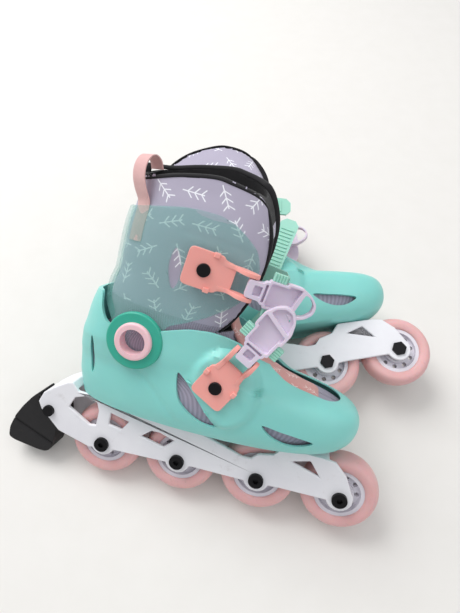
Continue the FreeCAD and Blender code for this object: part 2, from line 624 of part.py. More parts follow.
def brake_pad(name):
    """The heel brake: a rubber block behind the last wheel with a tongue in the frame."""
    body = doc.addObject("PartDesign::Body", name)
    block = new_sketch(body, name + "_block")
    draw_polygon(block, BRAKE_OUTLINE)
    pad(body, block, name + "_pad", "Sheet.brake_width")
    stem = new_sketch(body, name + "_stem")
    draw_polygon(stem, BRAKE_TONGUE)
    pad(body, stem, name + "_tongue", "Sheet.plate_gap - 0.4")
    hole = new_sketch(body, name + "_hole")
    draw_circle(hole, BRAKE_BOLT.x, BRAKE_BOLT.z, "Sheet.axle_diameter * 0.75 + 0.1", 6.1)
    pocket(body, hole, name + "_bore", "Sheet.frame_width * 2")
    return body


def brake_screw(name, lateral):
    """The bolt that holds the brake in the frame."""
    side = size("frame_width") / 2
    shank = cylinder_y(3, -side, side, BRAKE_BOLT.x, BRAKE_BOLT.z)
    head = cylinder_y(5.5, lateral * side, lateral * (side + 3), BRAKE_BOLT.x, BRAKE_BOLT.z)
    nut = hexagon(10, -lateral * side, -lateral * (side + 3.5), BRAKE_BOLT.x, BRAKE_BOLT.z)
    return feature_of(name, shank.fuse([head, nut]).removeSplitter())


def skate_placement(prefix):
    """Where a skate lies on the floor, read from the sheet."""
    place = Vec(size(prefix + "_along") - size("origin_along"),
                size(prefix + "_across") - size("origin_across"),
                size(prefix + "_height") - size("origin_height"))
    turn = FreeCAD.Rotation(size(prefix + "_yaw"), size(prefix + "_pitch"), size(prefix + "_roll"))
    return FreeCAD.Placement(place, turn)


def build_skate(prefix, lateral):
    """Every piece of one skate, as a dictionary of node name to document object."""
    nodes = {}
    place = skate_placement(prefix)

    def keep(name, thing):
        offset = Vec(0, 0, 0)
        if isinstance(thing, tuple):
            thing, offset = thing
        thing.Label = f"{prefix}_{name}"
        thing.Placement = place.multiply(FreeCAD.Placement(offset, FreeCAD.Rotation()))
        nodes[thing.Label] = thing

    def named(name):
        return f"{prefix}_{name}"

    keep("frame", frame(named("frame")))
    for number, axle in enumerate(AXLES, start=1):
        keep(f"tyre_{number}", tyre(named(f"tyre_{number}"), axle))
        keep(f"hub_{number}", hub(named(f"hub_{number}"), axle))
    keep("bearings", bearings(named("bearings")))
    keep("axle_bolts", axle_bolts(named("axle_bolts"), lateral))
    keep("shell", shell(named("shell")))
    keep("cuff", cuff(named("cuff")))
    keep("liner_boot", liner_boot(named("liner_boot")))
    keep("liner_collar", liner_collar(named("liner_collar")))
    keep("tongue", tongue(named("tongue")))
    keep("pivot_discs", pivot_discs(named("pivot_discs")))
    keep("pivot_rings", pivot_rings(named("pivot_rings")))
    for label, mount in (("instep", INSTEP), ("ankle", ANKLE)):
        keep(f"{label}_base", buckle_base(named(f"{label}_base"), mount, lateral))
        keep(f"{label}_lever", lever(named(f"{label}_lever"), mount, lateral))
        keep(f"{label}_pawl", pawl(named(f"{label}_pawl"), mount, lateral))
        keep(f"{label}_strap", strap(named(f"{label}_strap"), mount, lateral))
    keep("shell_fasteners", fasteners(named("shell_fasteners"), INSTEP, lateral, 7, FRAME_SCREWS))
    keep("cuff_fasteners", fasteners(named("cuff_fasteners"), ANKLE, lateral, 5.2))
    keep("pull_loop", pull_loop(named("pull_loop")))
    if prefix == "right":
        keep("brake_pad", brake_pad(named("brake_pad")))
        keep("brake_screw", brake_screw(named("brake_screw"), lateral))
    return nodes


NODES = {}
NODES.update(build_skate("right", -1))
NODES.update(build_skate("left", 1))
doc.recompute()

faults = [item.Label for item in doc.Objects if "Invalid" in item.State or "Error" in item.State]
for label, node in NODES.items():
    if node.Shape.isNull() or not node.Shape.isValid() or not node.Shape.Solids:
        faults.append(label)
if faults:
    raise RuntimeError("failed objects: " + ", ".join(faults))

os.makedirs("parts", exist_ok=True)
for label, node in NODES.items():
    node.Shape.exportStep(f"parts/{label}.step")
    print(f"{label}: {len(node.Shape.Solids)} solid, {node.Shape.Volume / 1000:.2f} cm3")
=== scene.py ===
"""The looks of a pair of kids' inline skates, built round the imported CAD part.

Every piece is modelled in the frame of its own skate, in millimetres: x forward to the toe, y to the
skate's left, z up from the ground under the middle wheels. The skate's own matrix then puts the
finished mesh where the wheel joints of the CAD part say. `side` is -1 on the right skate and +1 on
the left one, so y = side * 45 is on the outer side of either.
"""

import json
import logging
import math
from dataclasses import dataclass, field
from enum import Enum
from typing import Callable, Iterable, Sequence

import bmesh
import bpy
from mathutils import Matrix, Vector

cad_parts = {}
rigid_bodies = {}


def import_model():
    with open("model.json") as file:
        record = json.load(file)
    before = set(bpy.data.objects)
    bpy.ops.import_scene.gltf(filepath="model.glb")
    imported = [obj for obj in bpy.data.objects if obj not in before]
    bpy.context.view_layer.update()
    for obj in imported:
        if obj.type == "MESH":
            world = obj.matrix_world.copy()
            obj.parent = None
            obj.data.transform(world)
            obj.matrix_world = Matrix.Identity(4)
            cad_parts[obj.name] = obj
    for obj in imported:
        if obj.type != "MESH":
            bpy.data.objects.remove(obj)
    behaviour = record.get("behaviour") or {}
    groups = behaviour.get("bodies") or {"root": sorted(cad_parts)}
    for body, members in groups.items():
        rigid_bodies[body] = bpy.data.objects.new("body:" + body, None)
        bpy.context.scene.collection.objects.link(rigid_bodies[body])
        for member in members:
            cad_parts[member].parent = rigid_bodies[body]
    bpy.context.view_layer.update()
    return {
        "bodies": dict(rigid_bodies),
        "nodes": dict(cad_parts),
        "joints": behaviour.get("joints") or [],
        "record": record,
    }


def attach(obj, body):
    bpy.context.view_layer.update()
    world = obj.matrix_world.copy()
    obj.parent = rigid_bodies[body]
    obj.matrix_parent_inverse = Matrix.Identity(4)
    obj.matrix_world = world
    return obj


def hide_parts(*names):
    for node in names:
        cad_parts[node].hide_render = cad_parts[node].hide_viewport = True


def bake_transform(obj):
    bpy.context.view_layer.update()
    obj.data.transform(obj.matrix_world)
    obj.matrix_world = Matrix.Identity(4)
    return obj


LOG = logging.getLogger("skates")
MM = 0.001
WHEEL_RADIUS = 36
WHEEL_SPACING = 76
ANKLE_PIVOT = (-81.0, 156.0)
Outline = Sequence[tuple[float, float]]


# ---------------------------------------------------------------- bench work


def lay_down() -> None:
    """Leaves nothing selected, because an operator acts on all that is selected."""
    if bpy.context.object is not None and bpy.context.object.mode != "OBJECT":
        bpy.ops.object.mode_set(mode="OBJECT")
    bpy.ops.object.select_all(action="DESELECT")


def take(piece: bpy.types.Object) -> None:
    """Makes one piece the only selected and active one.

    Args:
        piece: The piece to work on.
    """
    lay_down()
    piece.select_set(True)
    bpy.context.view_layer.objects.active = piece


def ring(name: str, points: Sequence[Vector]) -> bpy.types.Object:
    """A closed loop of edges: a circle whose vertices are moved to the points.

    Args:
        name: The object's name.
        points: The corners, in order.

    Returns:
        The new object.
    """
    lay_down()
    bpy.ops.mesh.primitive_circle_add(vertices=len(points), radius=1.0, fill_type="NOTHING")
    loop = bpy.context.object
    loop.name = name
    for vertex, point in zip(loop.data.vertices, points):
        vertex.co = point
    return loop


def loft(name: str, rings: Sequence[Sequence[Vector]], capped: bool = True) -> bpy.types.Object:
    """A skin through rings of the same count, each extruded from the one before.

    Args:
        name: The object's name.
        rings: The rings, each a list of corners in the same order.
        capped: Whether both ends are closed with a face.

    Returns:
        The new object, with its faces outwards.
    """
    skin = ring(name, rings[0])
    take(skin)
    bpy.ops.object.mode_set(mode="EDIT")
    bpy.ops.mesh.select_all(action="SELECT")
    if capped:
        bpy.ops.mesh.edge_face_add()
    for before, after in zip(rings, rings[1:]):
        bpy.ops.mesh.extrude_region_move()
        mesh = bmesh.from_edit_mesh(skin.data)
        goes = {tuple(round(c, 5) for c in a): b for a, b in zip(before, after)}
        for vertex in mesh.verts:
            if vertex.select:
                vertex.co = goes[tuple(round(c, 5) for c in vertex.co)]
        bmesh.update_edit_mesh(skin.data)
    bpy.ops.mesh.select_all(action="SELECT")
    bpy.ops.mesh.normals_make_consistent(inside=False)
    bpy.ops.object.mode_set(mode="OBJECT")
    return skin


def plate(name: str, outline: Outline, low: float, high: float, flat: str = "y") -> bpy.types.Object:
    """A flat slab: an outline extruded between two heights.

    Args:
        name: The object's name.
        outline: The corners in the slab's plane: x, z for flat "y", and x, y for flat "z".
        low: Where the slab starts across its plane.
        high: Where it ends.
        flat: The axis that the slab is thin along.

    Returns:
        The new object.
    """
    if flat == "y":
        ends = [[Vector((a, t, b)) for a, b in outline] for t in (low, high)]
    else:
        ends = [[Vector((a, b, t)) for a, b in outline] for t in (low, high)]
    return loft(name, ends)


def smooth_line(corners: Outline, steps: int = 8, closed: bool = True) -> list[tuple[float, float]]:
    """A rounded line that passes through all corners.

    Args:
        corners: The corners it passes through.
        steps: How many points each span gets.
        closed: Whether the last corner joins the first.

    Returns:
        The points of the smooth line.
    """
    count = len(corners)
    made = []
    for i in range(count if closed else count - 1):
        if closed:
            p0, p1, p2, p3 = (Vector(corners[(i + k) % count]) for k in (-1, 0, 1, 2))
        else:
            p0, p1, p2, p3 = (Vector(corners[min(max(i + k, 0), count - 1)]) for k in (-1, 0, 1, 2))
        for step in range(steps):
            t = step / steps
            spot = 0.5 * (2 * p1 + (p2 - p0) * t + (2 * p0 - 5 * p1 + 4 * p2 - p3) * t * t
                          + (3 * p1 - p0 - 3 * p2 + p3) * t ** 3)
            made.append((spot.x, spot.y))
    if not closed:
        made.append(tuple(corners[-1]))
    return made


def rounded(corners: Outline, radius: float, steps: int = 5) -> list[tuple[float, float]]:
    """A polygon with each corner rounded off.

    Args:
        corners: The sharp corners.
        radius: How far the rounding reaches along each edge, at most.
        steps: Points in each rounding.

    Returns:
        The rounded outline.
    """
    made = []
    for i, corner in enumerate(corners):
        here = Vector(corner)
        ahead, behind = Vector(corners[(i + 1) % len(corners)]) - here, Vector(corners[i - 1]) - here
        start = here + behind.normalized() * min(radius, behind.length * 0.45)
        end = here + ahead.normalized() * min(radius, ahead.length * 0.45)
        for step in range(steps + 1):
            t = step / steps
            spot = start * (1 - t) ** 2 + here * 2 * t * (1 - t) + end * t * t
            made.append((spot.x, spot.y))
    return made


def combine(piece: bpy.types.Object, tools: Iterable[bpy.types.Object], how: str = "DIFFERENCE") -> None:
    """Cuts, joins or trims a piece with tools, which are used up.

    Args:
        piece: The piece that is worked on.
        tools: Closed solids.
        how: DIFFERENCE, UNION or INTERSECT.
    """
    for tool in tools:
        take(piece)
        step = piece.modifiers.new("combine", "BOOLEAN")
        step.operation, step.solver, step.object = how, "EXACT", tool
        bpy.ops.object.modifier_apply(modifier=step.name)
        bpy.data.objects.remove(tool)


def ankle_bore(y: float, radius: float, depth: float, around: int) -> bpy.types.Object:
    """The cutter for a round hole on the ankle's axis.

    Args:
        y: The middle of the cutter, across the boot.
        radius: Of the hole.
        depth: How long the cutter is.
        around: How many sides it has.

    Returns:
        The cutter.
    """
    lay_down()
    bpy.ops.mesh.primitive_cylinder_add(
        vertices=around, radius=radius, depth=depth, rotation=(math.pi / 2, 0, 0),
        location=(ANKLE_PIVOT[0], y, ANKLE_PIVOT[1]))
    return bpy.context.object


def turned_edge(piece: bpy.types.Object, width: float, angle: float = 38, weld: float = 0.3) -> None:
    """Rounds the sharp edges and shades the rest smooth.

    Args:
        piece: The piece to finish.
        width: Width of the rounding in millimetres, or 0 for none.
        angle: Edges sharper than this many degrees are rounded.
        weld: Corners closer than this are merged first.
    """
    take(piece)
    bpy.ops.object.mode_set(mode="EDIT")
    bpy.ops.mesh.select_all(action="SELECT")
    bpy.ops.mesh.remove_doubles(threshold=weld)
    bpy.ops.mesh.dissolve_degenerate(threshold=0.02)
    bpy.ops.object.mode_set(mode="OBJECT")
    if width:
        step = piece.modifiers.new("edge", "BEVEL")
        step.width, step.segments, step.limit_method = width, 2, "ANGLE"
        step.angle_limit, step.use_clamp_overlap = math.radians(angle), False
        bpy.ops.object.modifier_apply(modifier=step.name)
    bpy.ops.object.shade_smooth_by_angle(angle=math.radians(40))
    even = piece.modifiers.new("even", "WEIGHTED_NORMAL")
    even.keep_sharp = True
    bpy.ops.object.modifier_apply(modifier=even.name)


def smooth_all(piece: bpy.types.Object) -> None:
    """Shades a soft piece smooth all over."""
    take(piece)
    bpy.ops.object.shade_smooth()


def join(name: str, pieces: Sequence[bpy.types.Object]) -> bpy.types.Object:
    """Several meshes made one object.

    Args:
        name: The joined object's name.
        pieces: The pieces, of which the first takes the rest.

    Returns:
        The joined object.
    """
    take(pieces[0])
    for piece in pieces[1:]:
        piece.select_set(True)
    bpy.ops.object.join()
    pieces[0].name = name
    return pieces[0]


def ease(value: float, start: float, end: float) -> float:
    """0 before start, 1 after end, and a smooth rise between them."""
    t = min(max((value - start) / (end - start), 0.0), 1.0)
    return t * t * (3 - 2 * t)


def off_line(x: float, z: float, line: Outline) -> float:
    """The distance in millimetres from a point to a line of corners.

    Args:
        x: Along the boot.
        z: The height.
        line: The corners of an open line, as x and z.

    Returns:
        The distance in millimetres.
    """
    spot, best = Vector((x, z)), 1e9
    for a, b in zip(line, line[1:]):
        start, run = Vector(a), Vector(b) - Vector(a)
        t = min(max((spot - start).dot(run) / run.length_squared, 0.0), 1.0)
        best = min(best, (spot - start - run * t).length)
    return best


# ---------------------------------------------------------------- finishes


def linear(code: str) -> tuple[float, float, float, float]:
    """An sRGB hex colour as linear red, green, blue and a full alpha."""
    parts = [int(code[i:i + 2], 16) / 255 for i in (1, 3, 5)]
    return (*[c / 12.92 if c <= 0.04045 else ((c + 0.055) / 1.055) ** 2.4 for c in parts], 1.0)


def add_node(tree: bpy.types.NodeTree, kind: str, inputs: dict | None = None, **settings) -> bpy.types.Node:
    """Adds a shader node.

    Args:
        tree: The material's node tree.
        kind: The node's type name.
        inputs: Socket name or number to a constant or to the output that feeds it.
        **settings: The node's own properties.

    Returns:
        The node.
    """
    made = tree.nodes.new(kind)
    for key, value in settings.items():
        setattr(made, key, value)
    for key, value in (inputs or {}).items():
        if isinstance(value, bpy.types.NodeSocket):
            tree.links.new(value, made.inputs[key])
        else:
            made.inputs[key].default_value = value
    return made


def math_node(tree: bpy.types.NodeTree, operation: str, *values) -> bpy.types.NodeSocket:
    """The result of one Math operation on constants or outputs."""
    return add_node(tree, "ShaderNodeMath", dict(enumerate(values)), operation=operation).outputs[0]


@dataclass(frozen=True)
class Finish:
    """What every finish has: its name, its colours and how it takes light.

    The colour drifts a little between `colour` and `second` over patches of `patch` mm, and a bump
    of `grain` mm stands for the surface left by the mould or the weave.
    """

    name: str
    colour: str
    second: str
    roughness: float
    ior: float = 1.5
    metallic: float = 0.0
    patch: float = 30.0
    grain: float = 0.8
    relief: float = 0.05
    haze: float = 0.12
    alpha: float = 1.0
    coat: float = 0.0
    sheen: float = 0.0
    glow: float = 0.0

    def material(self) -> bpy.types.Material:
        """The material, made once and then shared.

        Returns:
            The material of this name.
        """
        found = bpy.data.materials.get(self.name)
        if found is not None:
            return found
        made = bpy.data.materials.new(self.name)
        made.use_nodes = True
        tree = made.node_tree
        shader = tree.nodes["Principled BSDF"]
        shader.inputs["IOR"].default_value = self.ior
        shader.inputs["Metallic"].default_value = self.metallic
        shader.inputs["Alpha"].default_value = self.alpha
        shader.inputs["Coat Weight"].default_value = self.coat
        shader.inputs["Sheen Weight"].default_value = self.sheen
        shader.inputs["Subsurface Weight"].default_value = self.glow
        shader.inputs["Subsurface Scale"].default_value = 0.004
        place = add_node(tree, "ShaderNodeTexCoord").outputs["Object"]
        tree.links.new(self.tint(tree, place), shader.inputs["Base Color"])
        tree.links.new(self.gloss(tree, place), shader.inputs["Roughness"])
        tree.links.new(self.bump(tree, place), shader.inputs["Normal"])
        return made

    def tint(self, tree: bpy.types.NodeTree, place: bpy.types.NodeSocket) -> bpy.types.NodeSocket:
        """The colour: two near shades in soft patches.

        Args:
            tree: The material's node tree.
            place: The object's own coordinates.

        Returns:
            The socket that gives the colour.
        """
        cloud = add_node(tree, "ShaderNodeTexNoise", {"Vector": place, "Scale": 1 / (self.patch * MM),
                                                      "Detail": 4.0, "Roughness": 0.55})
        blend = add_node(tree, "ShaderNodeMix", {0: cloud.outputs["Fac"], "A": linear(self.colour),
                                                 "B": linear(self.second)}, data_type="RGBA")
        return blend.outputs["Result"]

    def gloss(self, tree: bpy.types.NodeTree, place: bpy.types.NodeSocket) -> bpy.types.NodeSocket:
        """The roughness, with handling marks that make it hazier in patches.

        Args:
            tree: The material's node tree.
            place: The object's own coordinates.

        Returns:
            The socket that gives the roughness.
        """
        smear = add_node(tree, "ShaderNodeTexNoise", {"Vector": place, "Scale": 1 / (14 * MM),
                                                      "Detail": 6.0, "Roughness": 0.65})
        band = add_node(tree, "ShaderNodeMapRange", {
            "Value": smear.outputs["Fac"], "From Min": 0.35, "From Max": 0.7,
            "To Min": self.roughness, "To Max": self.roughness + self.haze})
        return band.outputs["Result"]

    def bump(self, tree: bpy.types.NodeTree, place: bpy.types.NodeSocket) -> bpy.types.NodeSocket:
        """The surface relief: a fine even grain.

        Args:
            tree: The material's node tree.
            place: The object's own coordinates.

        Returns:
            The socket that gives the normal.
        """
        grit = add_node(tree, "ShaderNodeTexNoise", {"Vector": place, "Scale": 1 / (self.grain * MM),
                                                     "Detail": 2.0})
        relief = add_node(tree, "ShaderNodeBump", {"Height": grit.outputs["Fac"], "Strength": 0.35,
                                                   "Distance": self.relief * MM})
        return relief.outputs["Normal"]


@dataclass(frozen=True)
class Scuffed(Finish):
    """A moulded finish that has been outdoors: specks of dirt of `speck` mm sit on it."""

    speck: float = 9.0
    dirt: str = "#8c7a70"
    amount: float = 0.35

    def tint(self, tree: bpy.types.NodeTree, place: bpy.types.NodeSocket) -> bpy.types.NodeSocket:
        """The colour, with dirt where a sharp noise peaks.

        Args:
            tree: The material's node tree.
            place: The object's own coordinates.

        Returns:
            The socket that gives the colour.
        """
        clean = super().tint(tree, place)
        grime = add_node(tree, "ShaderNodeTexNoise", {"Vector": place, "Scale": 1 / (self.speck * MM),
                                                      "Detail": 9.0, "Roughness": 0.72})
        peak = add_node(tree, "ShaderNodeMapRange", {"Value": grime.outputs["Fac"], "From Min": 0.58,
                                                     "From Max": 0.74, "To Min": 0.0,
                                                     "To Max": self.amount})
        blend = add_node(tree, "ShaderNodeMix", {0: peak.outputs["Result"], "A": clean,
                                                 "B": linear(self.dirt)}, data_type="RGBA")
        return blend.outputs["Result"]


class Weave(Enum):
    """How a cloth's threads lie."""

    PLAIN = "plain"
    RIB = "rib"


@dataclass(frozen=True)
class Cloth(Finish):
    """A cloth, with its threads `pitch` mm apart and a printed sprig pattern if `ink` is given."""

    weave: Weave = Weave.PLAIN
    pitch: float = 1.1
    ink: str = ""
    sprig: float = 29.0
    lay: float = 0.0

    def threads(self, tree: bpy.types.NodeTree) -> bpy.types.NodeSocket:
        """The height of the threads, from 0 to 1, along the piece's own cloth map.

        Args:
            tree: The material's node tree.

        Returns:
            The socket that gives the height.
        """
        flat = add_node(tree, "ShaderNodeUVMap", uv_map="cloth").outputs["UV"]
        turned = add_node(tree, "ShaderNodeMapping", {"Vector": flat, "Rotation": (0, 0, self.lay)})
        along = add_node(tree, "ShaderNodeSeparateXYZ", {0: turned.outputs[0]})
        turns = 2 * math.pi / (self.pitch * MM)
        warp = math_node(tree, "SINE", math_node(tree, "MULTIPLY", along.outputs[0], turns))
        if self.weave is Weave.RIB:
            return math_node(tree, "MULTIPLY_ADD", warp, 0.5, 0.5)
        weft = math_node(tree, "SINE", math_node(tree, "MULTIPLY", along.outputs[1], turns))
        return math_node(tree, "MULTIPLY_ADD", math_node(tree, "MULTIPLY", warp, weft), 0.5, 0.5)

    def sprigs(self, tree: bpy.types.NodeTree) -> bpy.types.NodeSocket:
        """1 on the printed sprigs: a stem with slanted barbs, each in its own cell at its own turn.

        Args:
            tree: The material's node tree.

        Returns:
            The socket that gives the share of ink.
        """
        flat = add_node(tree, "ShaderNodeUVMap", uv_map="cloth").outputs["UV"]
        cell = self.sprig * MM
        grid = add_node(tree, "ShaderNodeVectorMath", {0: flat, 1: (1 / cell, 1.18 / cell, 0)},
                        operation="MULTIPLY").outputs[0]
        split = add_node(tree, "ShaderNodeSeparateXYZ", {0: grid})
        row = math_node(tree, "FLOOR", split.outputs[1])
        shift = math_node(tree, "MULTIPLY", row, 0.43)
        moved = add_node(tree, "ShaderNodeCombineXYZ", {
            0: math_node(tree, "ADD", split.outputs[0], shift), 1: split.outputs[1]}).outputs[0]
        corner = add_node(tree, "ShaderNodeVectorMath", {0: moved}, operation="FLOOR").outputs[0]
        inside = add_node(tree, "ShaderNodeVectorMath", {0: moved}, operation="FRACTION").outputs[0]
        centred = add_node(tree, "ShaderNodeVectorMath", {0: inside, 1: (0.5, 0.5, 0)},
                           operation="SUBTRACT").outputs[0]
        chance = add_node(tree, "ShaderNodeTexWhiteNoise", {"Vector": corner},
                          noise_dimensions="2D").outputs["Value"]
        turned = add_node(tree, "ShaderNodeVectorRotate", {
            "Vector": centred, "Angle": math_node(tree, "MULTIPLY", chance, 2 * math.pi)},
            rotation_type="Z_AXIS").outputs[0]
        spot = add_node(tree, "ShaderNodeSeparateXYZ", {0: turned})
        across = math_node(tree, "ABSOLUTE", spot.outputs[0])
        up = spot.outputs[1]
        reach = math_node(tree, "LESS_THAN", math_node(tree, "ABSOLUTE", up), 0.36)
        stem = math_node(tree, "MULTIPLY", math_node(tree, "LESS_THAN", across, 0.02), reach)
        slant = math_node(tree, "ADD", up, math_node(tree, "MULTIPLY", across, 0.85))
        wave = math_node(tree, "PINGPONG", math_node(tree, "ADD", slant, 0.36), 0.11)
        barb = math_node(tree, "GREATER_THAN", wave, 0.085)
        wide = math_node(tree, "LESS_THAN", across, 0.18)
        within = math_node(tree, "LESS_THAN", math_node(tree, "ABSOLUTE", slant), 0.37)
        barbs = math_node(tree, "MULTIPLY", math_node(tree, "MULTIPLY", barb, wide), within)
        return math_node(tree, "MAXIMUM", stem, barbs)

    def tint(self, tree: bpy.types.NodeTree, place: bpy.types.NodeSocket) -> bpy.types.NodeSocket:
        """The colour: painted shade between the threads, and the ink on top.

        Args:
            tree: The material's node tree.
            place: The object's own coordinates.

        Returns:
            The socket that gives the colour.
        """
        base = super().tint(tree, place)
        # Painted shade: the colour is darkened towards near black where the threads sink, standing in for
        # the shadow between them.
        painted_thread_shade = math_node(tree, "MULTIPLY_ADD", self.threads(tree), -0.28, 0.28)
        shade = add_node(tree, "ShaderNodeMix", {0: painted_thread_shade, "A": base, "B": (0.02, 0.02, 0.025, 1)},
                         data_type="RGBA").outputs["Result"]
        if not self.ink:
            return shade
        return add_node(tree, "ShaderNodeMix", {0: self.sprigs(tree), "A": shade,
                                                "B": linear(self.ink)},
                        data_type="RGBA").outputs["Result"]

    def bump(self, tree: bpy.types.NodeTree, place: bpy.types.NodeSocket) -> bpy.types.NodeSocket:
        """The surface relief: the threads.

        Args:
            tree: The material's node tree.
            place: The object's own coordinates.

        Returns:
            The socket that gives the normal.
        """
        relief = add_node(tree, "ShaderNodeBump", {"Height": self.threads(tree), "Strength": 0.6,
                                                   "Distance": self.relief * MM})
        return relief.outputs["Normal"]


# Glass-filled nylon, injection moulded: an even cool white with a soft gloss, grubby from the street.
WHITE_NYLON = Scuffed("white_nylon_moulded", "#f4f3f6", "#e6e4ea", 0.34, ior=1.53, speck=16, amount=0.22)
# Cast polyurethane: a milky pink that light enters a little way, dulled by rolling.
PINK_TYRE = Scuffed("pink_polyurethane_cast", "#e9b9b7", "#dba8a8", 0.36, glow=0.25, haze=0.2, speck=7)
# Nylon hub with a pearl pigment: pale lilac grey.
HUB_PEARL = Finish("pearl_nylon_hub", "#e8e5ec", "#d8d4dd", 0.3, ior=1.53)
# Chromed bearing steel, ground smooth.
BEARING = Finish("ground_bearing_steel", "#b9bbc0", "#9fa2a8", 0.24, metallic=1.0, haze=0.08)
# Black-oxide steel: near black, oiled, with a soft metal shine.
BLACK_STEEL = Finish("black_oxide_steel", "#1b191c", "#100f11", 0.38, metallic=0.6)
# Polypropylene, injection moulded in mint: satin, slightly milky.
MINT_SHELL = Finish("mint_polypropylene_moulded", "#90dcd4", "#85d2ca", 0.36, ior=1.49, glow=0.08,
                    grain=1.4, relief=0.03)
# Clear polyurethane tinted mint: a see-through cuff, glossy outside.
CLEAR_CUFF = Finish("clear_mint_polyurethane", "#84c6bd", "#92d0c8", 0.24, ior=1.5, alpha=0.25,
                    grain=3.0, relief=0.03)
# The same polyurethane, thicker and so deeper in colour.
DARK_MINT = Finish("deep_mint_polyurethane", "#33a78f", "#3db39b", 0.3, glow=0.1)
# Acetal, moulded: pale pink and slippery.
PALE_PINK = Finish("pale_pink_acetal", "#f7ced4", "#f2c4cb", 0.33, glow=0.1)
# Nylon moulded in salmon: satin, with light edges.
SALMON = Finish("salmon_nylon_moulded", "#fbafa5", "#f6a299", 0.38, glow=0.1)
# Nylon moulded in lilac.
LILAC = Finish("lilac_nylon_moulded", "#e6dae9", "#dbcee1", 0.36, glow=0.1)
# Soft-touch nylon in pale mint.
PALE_MINT = Finish("pale_mint_nylon", "#a5dcc9", "#98d2bf", 0.42, glow=0.05)
# Vulcanised rubber: black, dull, dusty.
RUBBER = Scuffed("black_vulcanised_rubber", "#0f0d0f", "#161416", 0.62, ior=1.52, grain=0.6,
                 relief=0.12, dirt="#5b534e", amount=0.12)
# Printed polyester over foam: lilac with white sprigs 25 mm apart on a plain weave. Its threads are
# about 0.4 mm apart, too fine to show, so they are drawn 1.3 mm apart.
LINER_PRINT = Cloth("lilac_polyester_printed", "#c6bfd2", "#bdb5ca", 0.82, sheen=0.25, pitch=1.3,
                    relief=0.1, ink="#f4f4fa")
# Spacer mesh: grey lilac, ribbed upwards. The ribs are about 1 mm apart and drawn at 2.2 mm to show.
LINER_MESH = Cloth("grey_lilac_spacer_mesh", "#b7b0c2", "#a59db1", 0.85, sheen=0.2, pitch=2.2,
                   weave=Weave.RIB, relief=0.5)
# Brushed polyester lining and binding: black and lightless, its weave drawn as coarse as the print's.
BLACK_LINING = Cloth("black_brushed_lining", "#0f0d0f", "#151315", 0.92, sheen=0.1, pitch=1.3,
                     relief=0.1)
# Printed polyester over foam: pink, with smaller sprigs, its weave drawn as coarse as the lilac one's.
PINK_PRINT = Cloth("pink_polyester_printed", "#f0aea6", "#e9a49e", 0.8, sheen=0.25, pitch=1.2,
                   relief=0.1, ink="#f8dcd8", sprig=20.0)
# Woven polyester webbing: pale pink, with ribs across its length every 1.5 mm.
WEBBING = Cloth("pink_polyester_webbing", "#f3c3bf", "#eab5b2", 0.75, sheen=0.3, pitch=1.5,
                weave=Weave.RIB, relief=0.25, lay=math.pi / 2)


def dress(piece: bpy.types.Object, *finishes: Finish) -> None:
    """Gives a piece its materials, in slot order.

    Args:
        piece: The piece to dress.
        *finishes: The finishes, in the order of the slots.
    """
    piece.data.materials.clear()
    for finish in finishes:
        piece.data.materials.append(finish.material())


# ---------------------------------------------------------------- the boot's form


@dataclass(frozen=True)
class Hull:
    """A boot surface through level slices: height, rear x, front x, half width, widening."""

    slices: tuple[tuple[float, float, float, float, float], ...]
    power: float = 2.5

    def at(self, height: float) -> list[float]:
        """The slice at a height, on a smooth curve through the given ones.

        Args:
            height: The z in millimetres.

        Returns:
            Rear x, front x, half width and widening.
        """
        rows = self.slices
        height = min(max(height, rows[0][0]), rows[-1][0])
        k = next((i for i in range(len(rows) - 1) if height <= rows[i + 1][0]), len(rows) - 2)
        p1, p2 = rows[k], rows[k + 1]
        p0, p3 = rows[max(k - 1, 0)], rows[min(k + 2, len(rows) - 1)]
        span = p2[0] - p1[0]
        t = (height - p1[0]) / span
        found = []
        for c in range(1, 5):
            m1 = (p2[c] - p0[c]) / max(p2[0] - p0[0], 1e-6) * span
            m2 = (p3[c] - p1[c]) / max(p3[0] - p1[0], 1e-6) * span
            found.append((2 * t ** 3 - 3 * t * t + 1) * p1[c] + (t ** 3 - 2 * t * t + t) * m1
                         + (3 * t * t - 2 * t ** 3) * p2[c] + (t ** 3 - t * t) * m2)
        return found

    def point(self, angle: float, height: float, inset: float = 0.0) -> Vector:
        """A point of the surface.

        Args:
            angle: Round the boot, 0 at the toe.
            height: The z in millimetres.
            inset: How far inside the surface.

        Returns:
            The point.
        """
        rear, front, half, widening = self.at(height)
        c, s = math.cos(angle), math.sin(angle)
        x = (rear + front) / 2 + ((front - rear) / 2 - inset) * math.copysign(
            abs(c) ** (2 / self.power), c)
        y = (half - inset) * math.copysign(abs(s) ** (2 / self.power), s) * (1 + widening * c)
        return Vector((x, y, height))

    def depth(self, spot: Vector) -> float:
        """How far out a point is: 1 on the surface, and less inside it.

        Args:
            spot: A point of the surface, in the skate's millimetres.

        Returns:
            The share of the way out to the surface.
        """
        rear, front, half, widening = self.at(spot.z)
        c = abs(spot.x - (rear + front) / 2) / ((front - rear) / 2)
        wide = half * (1 + widening * math.copysign(min(c, 1.0), spot.x - (rear + front) / 2))
        return (c ** self.power + (abs(spot.y) / wide) ** self.power) ** (1 / self.power)

    def solid(self, name: str, heights: Sequence[float], around: int, inset: float = 0.0,
              form: Callable[[Vector], Vector] | None = None) -> bpy.types.Object:
        """A closed solid inside the surface.

        Args:
            name: The object's name.
            heights: The level of each ring.
            around: Points in each ring.
            inset: How far inside the surface the solid is.
            form: Moves each point, for raised and sunken details.

        Returns:
            The solid.
        """
        rings = []
        for height in heights:
            row = [self.point(2 * math.pi * (i + 0.5) / around, height, inset) for i in range(around)]
            rings.append([form(spot) for spot in row] if form else row)
        return loft(name, rings)


def spread(start: float, end: float, count: int) -> list[float]:
    """Evenly spaced values, both ends included."""
    return [start + (end - start) * i / (count - 1) for i in range(count)]


